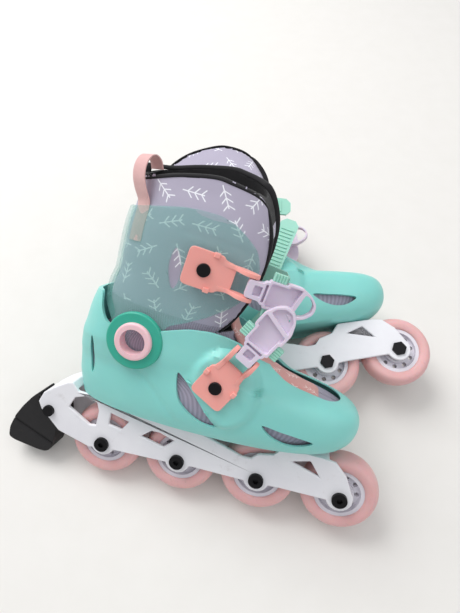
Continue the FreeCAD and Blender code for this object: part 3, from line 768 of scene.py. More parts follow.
SHELL_HULL = Hull((
    (73, -136, 84, 27, 0.1), (78, -140, 101, 34, 0.12), (86, -142, 112, 39, 0.13),
    (96, -144, 117.5, 42, 0.13), (108, -146, 118.5, 43, 0.12), (117, -146, 114, 43, 0.11),
    (123, -146, 104, 42.5, 0.1), (128, -146, 88, 42, 0.08), (135, -146, 60, 42, 0.05),
    (143, -145, 46, 43, 0.03), (150, -144, 38, 43.5, 0), (160, -141, 33, 43.5, 0),
    (176, -137, 33, 43.5, 0), (194, -130, 33, 43.5, 0)))
CUFF_HULL = Hull((
    (130, -145, 10, 39.3, 0), (165, -130, 5, 39.2, 0), (184, -124.5, 10, 39.2, 0),
    (198, -122.5, 16, 39.4, 0), (212, -117.5, 20, 40.2, 0), (230, -115, 24, 41.5, 0),
    (252, -111.5, 23, 42, 0), (275, -105, 14, 40, 0)))
LINER_HULL = Hull((
    (76, -132, 80, 22, 0.1), (80, -135, 93, 29, 0.12), (88, -138, 104, 34.5, 0.13),
    (97, -140, 110, 37.5, 0.13), (108, -142, 111, 39, 0.12), (116, -142, 105, 38.8, 0.11),
    (122, -142, 92, 38.2, 0.1), (128, -142, 72, 36.8, 0.08), (135, -141, 48, 36, 0.05),
    (143, -138, 30, 35.8, 0.03), (152, -130, 14, 35.8, 0), (165, -115.5, 0, 35.9, 0),
    (184, -119.5, 6, 36.4, 0), (198, -117.5, 12, 36.4, 0), (212, -112.8, 16, 37, 0),
    (230, -110.6, 20, 38.2, 0), (252, -107, 19.5, 38.6, 0), (275, -101.5, 16, 37.2, 0),
    (312, -100, 5, 34.5, 0)))


class Hand(Enum):
    """Which foot a skate is for. The value is the side that its outer face has."""

    RIGHT = -1
    LEFT = 1


@dataclass
class Skate:
    """One skate's place: its name, its hand and the matrix from its own millimetres to the scene."""

    hand: Hand
    frame: dict
    place: Matrix = field(init=False)

    def __post_init__(self) -> None:
        """Works out the matrix from the wheel joints."""
        spins = {j["name"]: j for j in self.frame["joints"]}
        rear = spins[self.named("wheel_1_spin")]
        toe = spins[self.named("wheel_4_spin")]
        start, end = Vector(rear["pos_m"]), Vector(toe["pos_m"])
        along = (end - start).normalized()
        across = Vector(rear["axis"])
        across = (across - along * across.dot(along)).normalized()
        up = along.cross(across)
        origin = (start + end) / 2 - up * WHEEL_RADIUS * MM
        turn = Matrix((along, across, up)).transposed().to_4x4()
        self.place = Matrix.Translation(origin) @ turn @ Matrix.Scale(MM, 4)

    @property
    def side(self) -> int:
        """-1 or +1: the sign of y on the outer side."""
        return self.hand.value

    def named(self, name: str) -> str:
        """The name with this skate's prefix."""
        return f"{self.hand.name.lower()}_{name}"

    def fit(self, piece: bpy.types.Object, name: str, body: str, slot: str,
            nodes: Sequence[str] = ()) -> bpy.types.Object:
        """Puts a finished piece in its place and ties it to its CAD body, unless the body is "bend".

        Args:
            piece: The piece, in the skate's own millimetres.
            name: Its name without the prefix.
            body: The CAD body that it rides on, without the prefix, or "bend" for a soft piece,
            which is tied to no body.
            slot: The material slot of the record. It is not used.
            nodes: The CAD nodes that it stands for, without the prefix.

        Returns:
            The piece.
        """
        lay_down()
        piece.name = self.named(name)
        piece.data.name = piece.name
        piece.data.transform(self.place)
        piece.data.update()
        if body == "bend":
            start, end = (self.place @ Vector((-60, 0, z)) for z in (150, 205))
            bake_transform(piece)
            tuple(start)
            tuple(end)
        else:
            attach(piece, self.named(body))
        if nodes:
            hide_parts(*[self.named(node) for node in nodes])
        LOG.info("%s: %d faces", piece.name, len(piece.data.polygons))
        return piece

    def keep(self, node: str, finish: Finish) -> None:
        """Dresses a CAD node that is shown as it is."""
        dress(self.frame["nodes"][self.named(node)], finish)


@dataclass
class BootShell:
    """The mint boot shell: a moulded hull with a throat, side windows and a raised buckle seat."""

    skate: Skate
    wall: float = 3.0
    seat: float = 46.5
    side_outline: Outline = (
        (-155, 86), (70, 74.1), (92, 71), (130, 72), (130, 140), (62, 150), (30, 150), (20, 156),
        (8, 167), (-5, 172), (-18, 174.5), (-35, 174), (-48, 171), (-59, 168), (-100, 162),
        (-111, 166), (-117, 176), (-119, 191), (-140, 187), (-155, 186))
    leaf: Outline = ((-41, 135), (-40.5, 120), (-36, 108), (-25, 98), (-13, 92.5), (-3, 93),
                     (-10, 101), (-23, 117), (-34, 130))
    leaf_edge: Outline = ((-41, 135), (-34, 130), (-23, 117), (-10, 101), (-3, 93), (-13, 92.5))
    toe_window: Outline = ((36, 104), (42, 96), (51, 90.5), (61, 88), (71, 89), (80, 94), (67, 98),
                           (52, 101))
    crease: Outline = ((-78, 130), (-60, 112), (-37, 86))

    def form(self, spot: Vector) -> Vector:
        """Raises the buckle seat out of the hull and sinks the crease.

        Args:
            spot: A point of the surface, in the skate's millimetres.

        Returns:
            The moved point.
        """
        x, y, z = spot
        if abs(y) < 20:
            return spot
        reach = math.hypot(x / 31, (z - 128) / 36)
        rise = (1 - ease(reach, 0.86, 1.0)) * ease(abs(y), 20, 36)
        rise *= ease(off_line(x, z, self.leaf_edge), 1.5, 5.5)
        lifted = abs(y) + min(max(self.seat - 0.1 - abs(y), 0), 7.0) * rise
        lifted -= 0.9 * math.exp(-(off_line(x, z, self.crease) / 2.2) ** 2)
        return Vector((x, math.copysign(lifted, y), z))

    def build(self) -> None:
        """Models the shell and dresses it."""
        levels = spread(73, 120, 22) + spread(121.5, 152, 26) + spread(154, 194, 14)
        piece = SHELL_HULL.solid("shell", levels, 288, form=self.form)
        combine(piece, [plate("trim", rounded(self.side_outline, 5), -70, 70)], "INTERSECT")
        inner = SHELL_HULL.solid("room", [z + 0.37 for z in levels], 240, inset=self.wall + 0.4)
        floor_side = [(-170, 89.3), (70, 77.1), (140, 77.1), (140, 240), (-170, 240)]
        combine(inner, [plate("floor", floor_side, -70, 70)], "INTERSECT")
        tools = [inner, self.throat()]
        for y in (-42, 42):
            for window in (self.leaf, self.toe_window):
                tools.append(plate("window", smooth_line(window, 5), y - 15, y + 15))
            tools.append(self.slit(math.copysign(28, y)))
            tools.append(ankle_bore(y * 45 / 42, 25.05, 30, 96))
        combine(piece, tools)
        turned_edge(piece, 0, weld=0.05)
        dress(piece, MINT_SHELL)
        self.skate.fit(piece, "boot_shell", "boot", "mint_shell", ["shell"])

    def throat(self) -> bpy.types.Object:
        """The cutter for the slot over the instep, round at the toe."""
        tip = [(80 + 19 * math.sin(math.pi * i / 16), 19 * math.cos(math.pi * i / 16)) for i in range(17)]
        return plate("throat", [(-2, 19)] + tip + [(-2, -19)], 112, 210, flat="z")

    def slit(self, y: float) -> bpy.types.Object:
        """The cutter for one upright slit in the heel.

        Args:
            y: Its middle, across the boot.

        Returns:
            The cutter.
        """
        wall = (SHELL_HULL.point(math.radians(a), 131) for a in range(91, 180))
        spot = min(wall, key=lambda point: abs(abs(point.y) - abs(y)))
        lay_down()
        bpy.ops.mesh.primitive_uv_sphere_add(segments=32, ring_count=24, radius=1,
                                             location=(spot.x, y, 131), scale=(2.3, 14, 19))
        return bpy.context.object


@dataclass
class AnkleCuff:
    """The clear cuff that hinges on the shell."""

    skate: Skate
    wall: float = 2.5
    side_outline: Outline = (
        (-130, 188), (-118, 181), (-109, 170), (-103, 158), (-97, 141), (-81, 134), (-66, 141),
        (-60, 160), (-56, 172), (-40, 178), (-23, 185), (-4, 196), (5, 205), (13, 228), (12, 236),
        (9, 245), (1, 254), (-10, 263), (-21, 268), (-35, 270), (-51, 271), (-68, 269.5), (-90, 267),
        (-120, 264))
    window: Outline = ((-54, 239), (-58, 230), (-59, 220), (-57, 209), (-54, 205), (-50, 212),
                       (-48.5, 222), (-50, 232))
    crease: Outline = ((-50, 253), (-44, 252), (-24, 249), (-7, 246), (6, 241))

    def form(self, spot: Vector) -> Vector:
        """Sinks the crease line below the cuff's shoulder.

        Args:
            spot: A point of the surface, in the skate's millimetres.

        Returns:
            The moved point.
        """
        x, y, z = spot
        sunk = 0.8 * math.exp(-(off_line(x, z, self.crease) / 1.8) ** 2)
        return Vector((x, y - math.copysign(sunk, y), z)) if abs(y) > 20 else spot

    def build(self) -> None:
        """Models the cuff and dresses it."""
        piece = CUFF_HULL.solid("cuff", spread(130.5, 274.5, 66), 208, form=self.form)
        inner = CUFF_HULL.solid("room", spread(130, 275, 40), 144, inset=self.wall)
        combine(piece, [plate("trim", rounded(self.side_outline, 4), -70, 70)], "INTERSECT")
        mouth = plate("mouth", [(-30, 120), (60, 120), (60, 320), (-30, 320)], -23, 23)
        tools = [inner, mouth]
        for y in (-42, 42):
            tools.append(plate("window", smooth_line(self.window, 5), y - 15, y + 15))
            tools.append(ankle_bore(y, 13.05, 40, 64))
        combine(piece, tools)
        turned_edge(piece, 0.6)
        dress(piece, CLEAR_CUFF)
        self.skate.fit(piece, "ankle_cuff", "upper", "clear_mint_cuff", ["cuff"])


@dataclass
class Liner:
    """The padded liner: printed cloth outside, mesh low down, a black lining and binding."""

    skate: Skate
    wall: float = 5.6
    outer_rim: Outline = ((-130, 283), (-100, 288.5), (-84, 290), (-61, 294), (-32, 296), (-18, 293.5),
                          (0, 287.5), (8, 281), (13.5, 270), (17, 257), (17.5, 244), (15, 226),
                          (8, 204), (-3, 184), (-14, 172))
    far_lift: float = 12.0

    def lid(self) -> bpy.types.Object:
        """The solid that trims the collar: lower on the outer side than on the inner one.

        Returns:
            The trimming solid.
        """
        base = [(150, 172), (150, 78), (70, 78), (-170, 90), (-170, 283)]
        line = smooth_line(self.outer_rim, 4, closed=False)
        side = self.skate.side
        rows = []
        for y, share in ((-70, -1), (70, 1)):
            lift = self.far_lift * (0.5 - share * side)
            rows.append([Vector((x, y, z + lift * ease(z, 172, 200))) for x, z in line + base])
        return loft("lid", rows)

    def build(self) -> None:
        """Models the liner, maps its cloth and dresses it."""
        heights = spread(79.5, 150, 34) + spread(152, 311, 72)
        piece = LINER_HULL.solid("liner", heights, 192, form=self.form)
        inner = LINER_HULL.solid("room", spread(77, 312, 76), 144, inset=self.wall)
        deck = [(-170, 92), (70, 80), (140, 80), (140, 340), (-170, 340)]
        combine(inner, [plate("deck", deck, -70, 70)], "INTERSECT")
        combine(piece, [self.lid()], "INTERSECT")
        slot = plate("mouth", [(-14, -15), (86, -15), (95, -8), (95, 8), (86, 15), (-14, 15)], 112, 330,
                     flat="z")
        combine(piece, [inner, slot])
        turned_edge(piece, 1.6, angle=50, weld=0.4)
        take(piece)
        bpy.ops.object.mode_set(mode="EDIT")
        bpy.ops.mesh.select_all(action="SELECT")
        bpy.ops.mesh.bisect(plane_co=(-40, 0, 180), plane_no=(0.12, 0, 1))
        bpy.ops.object.mode_set(mode="OBJECT")
        self.map_cloth(piece)
        dress(piece, LINER_PRINT, BLACK_LINING, LINER_MESH)
        self.paint(piece)
        smooth_all(piece)
        self.build_binding()
        self.skate.fit(piece, "liner", "bend", "lilac_fabric", ["liner_boot", "liner_collar"])

    def rim_spot(self, x: float, z: float, y_sign: float) -> Vector:
        """A point on the collar's rim.

        Args:
            x: Along the boot.
            z: The height of the outer side's rim there.
            y_sign: Which side of the boot.

        Returns:
            The point, on the middle of the liner's wall.
        """
        height = z + (self.far_lift if y_sign != self.skate.side else 0.0) * ease(z, 172, 200)
        rear, front, half, _ = LINER_HULL.at(height)
        reach, wide = (front - rear) / 2 - self.wall * 0.4, half - self.wall * 0.4
        c = min(abs(x - (rear + front) / 2) / reach, 1.0)
        y = wide * (1 - c ** LINER_HULL.power) ** (1 / LINER_HULL.power)
        return Vector((max(x, (rear + front) / 2 - reach), y_sign * max(y, 15.5 if x > -20 else 0), height))

    def build_binding(self) -> None:
        """The black binding, a rolled strip sewn over the rim and down both edges of the mouth."""
        line = [spot for spot in smooth_line(self.outer_rim, 5, closed=False) if spot[0] > -101]
        near = [self.rim_spot(x, z, self.skate.side) for x, z in reversed(line)]
        far = [self.rim_spot(x, z, -self.skate.side) for x, z in line]
        rear = (near[-1] + far[0]) / 2
        path = near + [Vector((rear.x - 1.0, near[-1].y * 0.5, rear.z * 0.5 + near[-1].z * 0.5)),
                       Vector((rear.x - 1.5, 0, rear.z)),
                       Vector((rear.x - 1.0, far[0].y * 0.5, rear.z * 0.5 + far[0].z * 0.5))] + far
        path = [path[0]] + [b for a, b in zip(path, path[1:]) if (b - a).length > 1.2]
        rings = []
        out = Vector((0, self.skate.side, 0))
        for i, spot in enumerate(path):
            run = (path[min(i + 1, len(path) - 1)] - path[max(i - 1, 0)]).normalized()
            out = (out - run * out.dot(run)).normalized()
            across = run.cross(out)
            rings.append([spot + across * 1.7 * math.cos(a) + out * 3.4 * math.sin(a)
                          for a in (2 * math.pi * k / 14 for k in range(14))])
        piece = loft("binding", rings)
        layer = piece.data.uv_layers.new(name="cloth")
        for loop in piece.data.loops:
            spot = piece.data.vertices[loop.vertex_index].co
            layer.data[loop.index].uv = (spot.x * MM, spot.z * MM)
        smooth_all(piece)
        dress(piece, BLACK_LINING)
        self.skate.fit(piece, "binding", "bend", "lilac_fabric")

    def form(self, spot: Vector) -> Vector:
        """Puffs the foam a little between its seams.

        Args:
            spot: A point of the surface, in the skate's millimetres.

        Returns:
            The moved point.
        """
        x, y, z = spot
        puff = 0.5 * math.sin(z / 9) * math.sin(x / 17 + z / 40) * ease(z, 240, 262)
        return Vector((x, y + math.copysign(puff, y), z))

    def paint(self, piece: bpy.types.Object) -> None:
        """Chooses the cloth of each face: lining inside and on the rim, mesh below the seam.

        Args:
            piece: The liner, before it is placed.
        """
        for face in piece.data.polygons:
            rim = face.normal.z > 0.3 and face.center.z > 190
            if rim or LINER_HULL.depth(face.center) < 0.975:
                face.material_index = 1
            elif face.center.z < 180 - 0.12 * (face.center.x + 40):
                face.material_index = 2
            else:
                face.material_index = 0

    @staticmethod
    def map_cloth(piece: bpy.types.Object) -> None:
        """Maps the cloth round the boot, in metres along it and up.

        Args:
            piece: The liner, before it is placed.
        """
        layer = piece.data.uv_layers.new(name="cloth")
        steps = 720
        spots = [LINER_HULL.point(2 * math.pi * i / steps, 230) for i in range(steps + 1)]
        run = [0.0]
        for a, b in zip(spots, spots[1:]):
            run.append(run[-1] + (b - a).length)
        for loop in piece.data.loops:
            spot = piece.data.vertices[loop.vertex_index].co
            rear, front, half, _ = LINER_HULL.at(spot.z)
            c = (spot.x - (rear + front) / 2) / ((front - rear) / 2)
            s = spot.y / half
            power = LINER_HULL.power / 2
            angle = math.atan2(math.copysign(abs(s) ** power, s), math.copysign(abs(c) ** power, c))
            spin = (angle % (2 * math.pi)) / (2 * math.pi) * steps
            k = min(int(spin), steps - 1)
            u = run[k] + (run[k + 1] - run[k]) * (spin - k)
            layer.data[loop.index].uv = (u * MM, spot.z * MM)


@dataclass
class Tongue:
    """The padded tongue in the throat, from the toe box up the shin."""

    skate: Skate
    half: float = 14.0
    thick: float = 2.8
    line: Outline = ((86, 119), (74, 126), (58, 131), (38, 139), (19, 150), (4, 162.5), (-6, 180),
                     (-8.7, 205), (-7.4, 231))

    def build(self) -> None:
        """Models the tongue as a quilted strip and dresses it."""
        path = smooth_line(self.line, 7, closed=False)
        rings = []
        for i, (x, z) in enumerate(path):
            ahead, behind = path[min(i + 1, len(path) - 1)], path[max(i - 1, 0)]
            run = (Vector(ahead) - Vector(behind)).normalized()
            t = i / (len(path) - 1)
            taper = math.sqrt(max(1 - (2 * t - 1) ** 10, 0.02))
            quilt = self.thick * taper * (0.9 + 0.1 * math.cos(t * 50))
            rings.append([self.spot(x, z, run, 2 * math.pi * k / 36, taper, quilt) for k in range(36)])
        piece = loft("tongue", rings)
        layer = piece.data.uv_layers.new(name="cloth")
        for loop in piece.data.loops:
            co = piece.data.vertices[loop.vertex_index].co
            layer.data[loop.index].uv = (co.y * MM, (co.z - co.x) * 0.75 * MM)
        smooth_all(piece)
        dress(piece, PINK_PRINT)
        self.skate.fit(piece, "tongue_pad", "boot", "pink_fabric", ["tongue"])

    def spot(self, x: float, z: float, run: Vector, angle: float, taper: float, thick: float) -> Vector:
        """One point of the strip's section, which is a flat rounded bar.

        Args:
            x: Along the boot.
            z: The height.
            run: The line's direction there.
            angle: Round the section, in radians.
            taper: How wide the strip is there, from 0 to 1.
            thick: How far its faces are from the line.

        Returns:
            The point.
        """
        c, s = math.cos(angle), math.sin(angle)
        wide = self.half * taper * math.copysign(abs(c) ** 0.6, c)
        off = thick * math.copysign(abs(s) ** 0.8, s)
        return Vector((x - run.y * off, wide, z + run.x * off))


@dataclass
class PullLoop:
    """The webbing loop on the collar's rear outer corner, with its sewn end under the cuff."""

    skate: Skate
    width: float = 15.0
    thick: float = 0.9
    bearing: float = 135.0
    bend: float = 26.0
    line: Outline = ((0.9, 238), (0.9, 250), (1.0, 262), (2.3, 271), (6.0, 280), (8.6, 289),
                     (8.0, 298), (4.0, 305), (-1.5, 307), (-6.5, 303.5), (-9.0, 297))

    def build(self) -> None:
        """Models the ribbon from its edge line and dresses it."""
        path = smooth_line(self.line, 6, closed=False)
        angle = math.radians(self.bearing) * self.skate.side
        step = math.radians(0.5)
        run = LINER_HULL.point(angle + step, 262) - LINER_HULL.point(angle - step, 262)
        run.normalize()
        out = Vector((run.y, -run.x, 0))
        out *= math.copysign(1, out.y * self.skate.side)
        spots = [LINER_HULL.point(angle, min(z, 272)) for _, z in path]
        centre = [Vector((spot.x, spot.y, z)) + out * n for spot, (n, z) in zip(spots, path)]
        length = sum((b - a).length for a, b in zip(centre, centre[1:]))
        lay_down()
        bpy.ops.mesh.primitive_grid_add(x_subdivisions=len(path) - 1, y_subdivisions=8, size=1)
        piece = bpy.context.object
        row = len(path)
        for vertex in piece.data.vertices:
            i, j = vertex.index % row, vertex.index // row
            t = (j / 8 - 0.5) * self.width
            sag = t * t / (2 * self.bend) * (1 - ease(path[i][1], 264, 284))
            vertex.co = centre[i] + run * t - out * sag
        layer = piece.data.uv_layers[0]
        layer.name = "cloth"
        for loop in piece.data.loops:
            i, j = loop.vertex_index % row, loop.vertex_index // row
            layer.data[loop.index].uv = (i / (row - 1) * length * MM, j / 8 * self.width * MM)
        take(piece)
        body = piece.modifiers.new("body", "SOLIDIFY")
        body.thickness, body.offset = self.thick, 0
        bpy.ops.object.modifier_apply(modifier=body.name)
        smooth_all(piece)
        bpy.ops.object.shade_smooth_by_angle(angle=math.radians(50))
        dress(piece, WEBBING)
        self.skate.fit(piece, "webbing_loop", "upper", "pink_webbing", ["pull_loop"])
        self.skate.named("liner")


@dataclass
class Buckle:
    """One lever buckle: its seat on the boot, its plate, its lever and its thumb catch."""

    skate: Skate
    label: str
    rivet: tuple[float, float]
    surface: float
    rise: float
    inward: float
    body: str
    open_tip: bool
    reach: float = 39.0
    height: float = 10.0
    half: float = 15.5

    def frame(self) -> Matrix:
        """The matrix from the buckle's u, v, n to the skate's millimetres.

        Returns:
            The matrix.
        """
        rise, inward = math.radians(self.rise), math.radians(self.inward)
        outward = Vector((0, self.skate.side, 0))
        flat = Vector((math.cos(rise), 0, math.sin(rise)))
        along = flat * math.cos(inward) - outward * math.sin(inward)
        normal = outward * math.cos(inward) + flat * math.sin(inward)
        across = normal.cross(along)
        turn = Matrix((along, across, normal)).transposed().to_4x4()
        return Matrix.Translation((self.rivet[0], self.skate.side * self.surface, self.rivet[1])) @ turn

    def set(self, piece: bpy.types.Object, name: str, body: str, slot: str, node: str) -> None:
        """Puts a finished piece on the skate."""
        piece.data.transform(self.frame())
        self.skate.fit(piece, name, body, slot, [node])

    def build(self) -> None:
        """Models the plate, the lever and the catch."""
        self.build_plate()
        self.build_lever()
        self.build_catch()

    def build_plate(self) -> None:
        """The riveted plate with rounded corners, two clevis ears and side pegs."""
        half = self.half
        outline = [(-half, -half), (half - 3, -half), (half - 1, -half + 3), (half + 9, -half + 4),
                   (half + 9, half - 4), (half - 1, half - 3), (half - 3, half), (-half, half)]
        piece = plate("plate", rounded(outline, 5), 0, 4, flat="z")
        ear = [(half - 5, 1), (half - 3, 4.2), (half + 8, 5), (half + 14, 12), (half + 18, 13.6),
               (half + 24, 13.6), (half + 27.4, 11), (half + 27.4, 8), (half + 24, 4.6),
               (half + 16, 0.6), (half + 6, 0.4)]
        parts = [piece]
        for v in (-1, 1):
            parts.append(plate("ear", rounded(ear, 2.5, 3), *sorted((v * 8.1, v * 11.6))))
            peg = [(4, 1), (9, 1), (9, 6.5), (4, 6.5)]
            parts.append(plate("peg", rounded(peg, 0.8, 2), *sorted((v * 12.6, v * 16.4))))
        for part in parts:
            turned_edge(part, 0.6, weld=0.1)
        piece = join("plate", parts)
        dress(piece, SALMON)
        self.set(piece, f"{self.label}_plate", self.body, "salmon", f"{self.label}_base")

    def build_lever(self) -> None:
        """The lever: a tray with ribs, narrow at its hinge and broad at its tip."""
        upper = [(-4, 7.4), (8, 7.4), (9.5, 9.5), (12, 9.5), (12, 11.5), (26, 11.5), (26, 13.5),
                 (38, 13.5), (47, 9.5), (52, 4.5), (53, 0)]
        outline = upper + [(u, -v) for u, v in reversed(upper[:-1])]
        low, high = self.height - 3.5, self.height + 3.5
        piece = plate("lever", self.moved(rounded(outline, 2.2, 3)), low, high, flat="z")
        main = [(13.5, 7.5), (14.5, 9.5), (28, 9.5), (28, 11.5), (38.5, 11.5), (33, -11.5),
                (28, -11.5), (28, -9.5), (14.5, -9.5), (13.5, -7.5)]
        tip = [(36.5, -11), (46, -8), (50.5, -3), (50.5, 3), (46, 8), (41.5, 9.5)]
        pockets = [(rounded([(1.5, -4), (1.5, 4), (8, 4), (8, -4)], 0.8, 2), low + 2),
                   (rounded([(9.8, -7.3), (9.8, 7.3), (11.8, 7.3), (11.8, -7.3)], 0.4, 2), low + 2.5),
                   (rounded(main, 1, 2), low + 1.8),
                   (rounded(tip, 1.5, 3), low - 1 if self.open_tip else low + 3)]
        if not self.open_tip:
            eye = [(43.5, -6), (48.5, -3), (47, 1)]
            pockets.append((rounded(eye, 1, 2), low - 1))
        tools = [plate("pocket", self.moved(line), floor, high + 2, flat="z")
                 for line, floor in pockets]
        combine(piece, tools)
        turned_edge(piece, 0.45, weld=0.1)
        dress(piece, LILAC)
        self.set(piece, f"{self.label}_tray", f"{self.label}_arm", "lilac", f"{self.label}_lever")

    def moved(self, line: Outline) -> list[tuple[float, float]]:
        """An outline drawn from the hinge, moved to its place along the buckle."""
        return [(u + self.reach, v) for u, v in line]

    def build_catch(self) -> None:
        """The thumb catch: a ribbed tab at each end of its rod, which the lever hides."""
        centre = self.reach + 19
        parts = []
        top, low = self.height + 2.4, self.height - 2.4
        line = [(centre - 5.5, low), (centre - 5.5, top - 0.8)]
        for k in range(5):
            u = centre - 5.3 + k * 2.2
            line += [(u + 0.3, top), (u + 1.2, top), (u + 1.5, top - 0.8), (u + 1.9, top - 0.8)]
        line += [(centre + 5.5, top - 0.8), (centre + 5.5, low)]
        for v in (-1, 1):
            tab = plate("tab", line, *sorted((v * 11.6, v * 18)))
            turned_edge(tab, 0.2, weld=0.05)
            parts.append(tab)
        piece = join("catch", parts)
        dress(piece, PALE_MINT)
        self.set(piece, f"{self.label}_thumb_catch", f"{self.label}_catch", "pale_mint",
                 f"{self.label}_pawl")


@dataclass
class WheelFrame:
    """The white frame with its wheels and bolts, and the brake on the right skate."""

    skate: Skate

    def build(self) -> None:
        """Softens the frame's edges and dresses the running gear."""
        self.build_rails()
        for number in range(1, 5):
            self.build_tyre(number)
            self.skate.keep(f"hub_{number}", HUB_PEARL)
        self.skate.keep("bearings", BEARING)
        self.skate.keep("axle_bolts", BLACK_STEEL)
        self.skate.keep("shell_fasteners", BLACK_STEEL)
        self.skate.keep("cuff_fasteners", BLACK_STEEL)
        if self.skate.hand is Hand.RIGHT:
            self.skate.keep("brake_screw", BLACK_STEEL)
            self.build_brake()

    def build_tyre(self, number: int) -> None:
        """One cast tyre, turned from its profile.

        Args:
            number: Which wheel, counted from the heel.
        """
        half = [(23, 9.3), (24, 10.6), (26.5, 11.6), (29.5, 12), (32, 11.2), (34, 9.2), (35.3, 6.2),
                (35.9, 3), (36, 0)]
        curve = smooth_line(half, 4, closed=False)
        profile = curve + [(r, -y) for r, y in reversed(curve[:-1])]
        centre = WHEEL_SPACING * (number - 2.5)
        rings = [[Vector((centre + r * math.cos(a), y, WHEEL_RADIUS + r * math.sin(a)))
                  for a in (2 * math.pi * k / 128 for k in range(128))] for r, y in profile + [profile[0]]]
        piece = loft("tyre", rings, capped=False)
        take(piece)
        bpy.ops.object.mode_set(mode="EDIT")
        bpy.ops.mesh.select_all(action="SELECT")
        bpy.ops.mesh.remove_doubles(threshold=0.01)
        bpy.ops.mesh.normals_make_consistent(inside=False)
        bpy.ops.object.mode_set(mode="OBJECT")
        bpy.ops.object.shade_smooth_by_angle(angle=math.radians(40))
        dress(piece, PINK_TYRE)
        self.skate.fit(piece, f"cast_tyre_{number}", f"wheel_{number}", "pink_polyurethane",
                       [f"tyre_{number}"])

    def build_rails(self) -> None:
        """The moulded rails: a copy of the CAD frame with turned edges."""
        source = self.skate.frame["nodes"][self.skate.named("frame")]
        take(source)
        bpy.ops.object.duplicate()
        piece = bpy.context.object
        piece.parent = None
        for key in list(piece.keys()):
            del piece[key]
        piece.data.transform(self.skate.place.inverted())
        take(piece)
        bpy.ops.object.mode_set(mode="EDIT")
        bpy.ops.mesh.select_all(action="SELECT")
        bpy.ops.mesh.remove_doubles(threshold=0.02)
        bpy.ops.mesh.dissolve_limited(angle_limit=math.radians(2))
        bpy.ops.object.mode_set(mode="OBJECT")
        turned_edge(piece, 1.2, angle=40, weld=0.05)
        dress(piece, WHITE_NYLON)
        self.skate.fit(piece, "rails", "boot", "white_nylon", ["frame"])

    def build_brake(self) -> None:
        """The rubber heel brake, with a shoulder line where the block meets its holder."""
        outline = [(-183.4, 67), (-184, 74), (-193, 66), (-203, 54), (-211, 42), (-217, 28), (-218, 17),
                   (-212, 14), (-184, 9), (-176, 9), (-171, 13), (-167, 28), (-165, 42), (-180.4, 58.6)]
        piece = plate("brake", rounded(outline, 3, 3), -12.5, 12.5)
        groove = [(-216.5, 40), (-168, 18.5), (-168, 20), (-216.5, 41.5)]
        for y in (-12.5, 12.5):
            combine(piece, [plate("groove", groove, y - 0.8, y + 0.8)])
        tongue = [(-185, 62), (-185, 70), (-181, 68), (-172, 70.5), (-163, 62), (-161, 46), (-172, 51)]
        combine(piece, [plate("tongue", tongue, -13.3, 13.3)], "UNION")
        turned_edge(piece, 1.0, weld=0.1)
        dress(piece, RUBBER)
        self.skate.fit(piece, "heel_brake", "boot", "black_rubber", ["brake_pad"])


@dataclass
class AnkleJoint:
    """The round covers and hollow rivets of the ankle joint, and the straps of the inner side."""

    skate: Skate

    def build(self) -> None:
        """Dresses the joint and the straps."""
        self.skate.keep("pivot_discs", DARK_MINT)
        self.skate.keep("pivot_rings", PALE_PINK)
        self.skate.keep("instep_strap", PALE_MINT)
        self.skate.keep("ankle_strap", PALE_MINT)


# ---------------------------------------------------------------- the studio


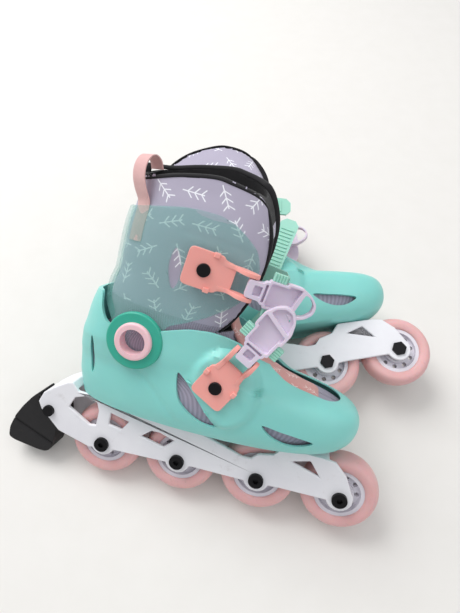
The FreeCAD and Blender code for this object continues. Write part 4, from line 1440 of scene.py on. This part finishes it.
@dataclass(frozen=True)
class Studio:
    """A pale floor, soft lights and the camera."""

    floor_colour: str = "#e9e6e2"
    eye: tuple[float, float, float] = (0.006865, -0.232308, 0.4833)
    tilt: float = 30.0
    lens: float = 26.02

    def build(self) -> None:
        """Sets the floor, the lights and the camera."""
        lay_down()
        bpy.ops.mesh.primitive_plane_add(size=6, location=(0, 0, 0))
        floor = bpy.context.object
        floor.name = "floor"
        matt = Finish("matt_pale_floor", self.floor_colour, "#e4e1dc", 0.85, relief=0.02)
        dress(floor, matt)
        for name, spot, aim, size, power in (
                ("key", (-0.9, 1.0, 1.7), (0, 0, 0.08), 1.3, 34),
                ("fill", (1.2, -0.9, 1.3), (0, 0, 0.08), 2.0, 7),
                ("top", (0.1, 0.2, 2.2), (0, 0, 0.0), 2.4, 13)):
            self.lamp(name, Vector(spot), Vector(aim), size, power)
        world = bpy.data.worlds.new("studio")
        world.use_nodes = True
        world.node_tree.nodes["Background"].inputs["Color"].default_value = linear("#eef1f5")
        world.node_tree.nodes["Background"].inputs["Strength"].default_value = 0.47
        bpy.context.scene.world = world
        lens = bpy.data.cameras.new("camera")
        lens.sensor_width, lens.sensor_fit, lens.lens = 36, "AUTO", self.lens
        lens.clip_start = 0.02
        bpy.context.scene.view_settings.view_transform = "Standard"
        camera = bpy.data.objects.new("camera", lens)
        camera.location = self.eye
        camera.rotation_euler = (math.radians(self.tilt), 0, 0)
        bpy.context.scene.collection.objects.link(camera)
        bpy.context.scene.camera = camera

    @staticmethod
    def lamp(name: str, spot: Vector, aim: Vector, size: float, power: float) -> None:
        """Hangs one square soft light.

        Args:
            name: The lamp's name.
            spot: Where it hangs.
            aim: What it shines at.
            size: The side of its square.
            power: Its power in watts.
        """
        light = bpy.data.lights.new(name, "AREA")
        light.size, light.energy = size, power
        lamp = bpy.data.objects.new(name, light)
        lamp.location = spot
        lamp.rotation_euler = (aim - spot).to_track_quat("-Z", "Y").to_euler()
        bpy.context.scene.collection.objects.link(lamp)


def main() -> None:
    """Builds both skates and the studio, and notes the sizes."""
    logging.basicConfig(level=logging.INFO, format="%(name)s %(message)s")
    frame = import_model()
    for hand in (Hand.RIGHT, Hand.LEFT):
        skate = Skate(hand, frame)
        BootShell(skate).build()
        AnkleCuff(skate).build()
        Liner(skate).build()
        Tongue(skate).build()
        PullLoop(skate).build()
        Buckle(skate, "instep", (-6, 132), 46.5, 57, 0, "boot", open_tip=False).build()
        Buckle(skate, "ankle", (-29, 226), 44.4, -12, 12, "upper", open_tip=True).build()
        AnkleJoint(skate).build()
        WheelFrame(skate).build()
    Studio().build()
    lay_down()
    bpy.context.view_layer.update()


if __name__ == "__main__":
    main()
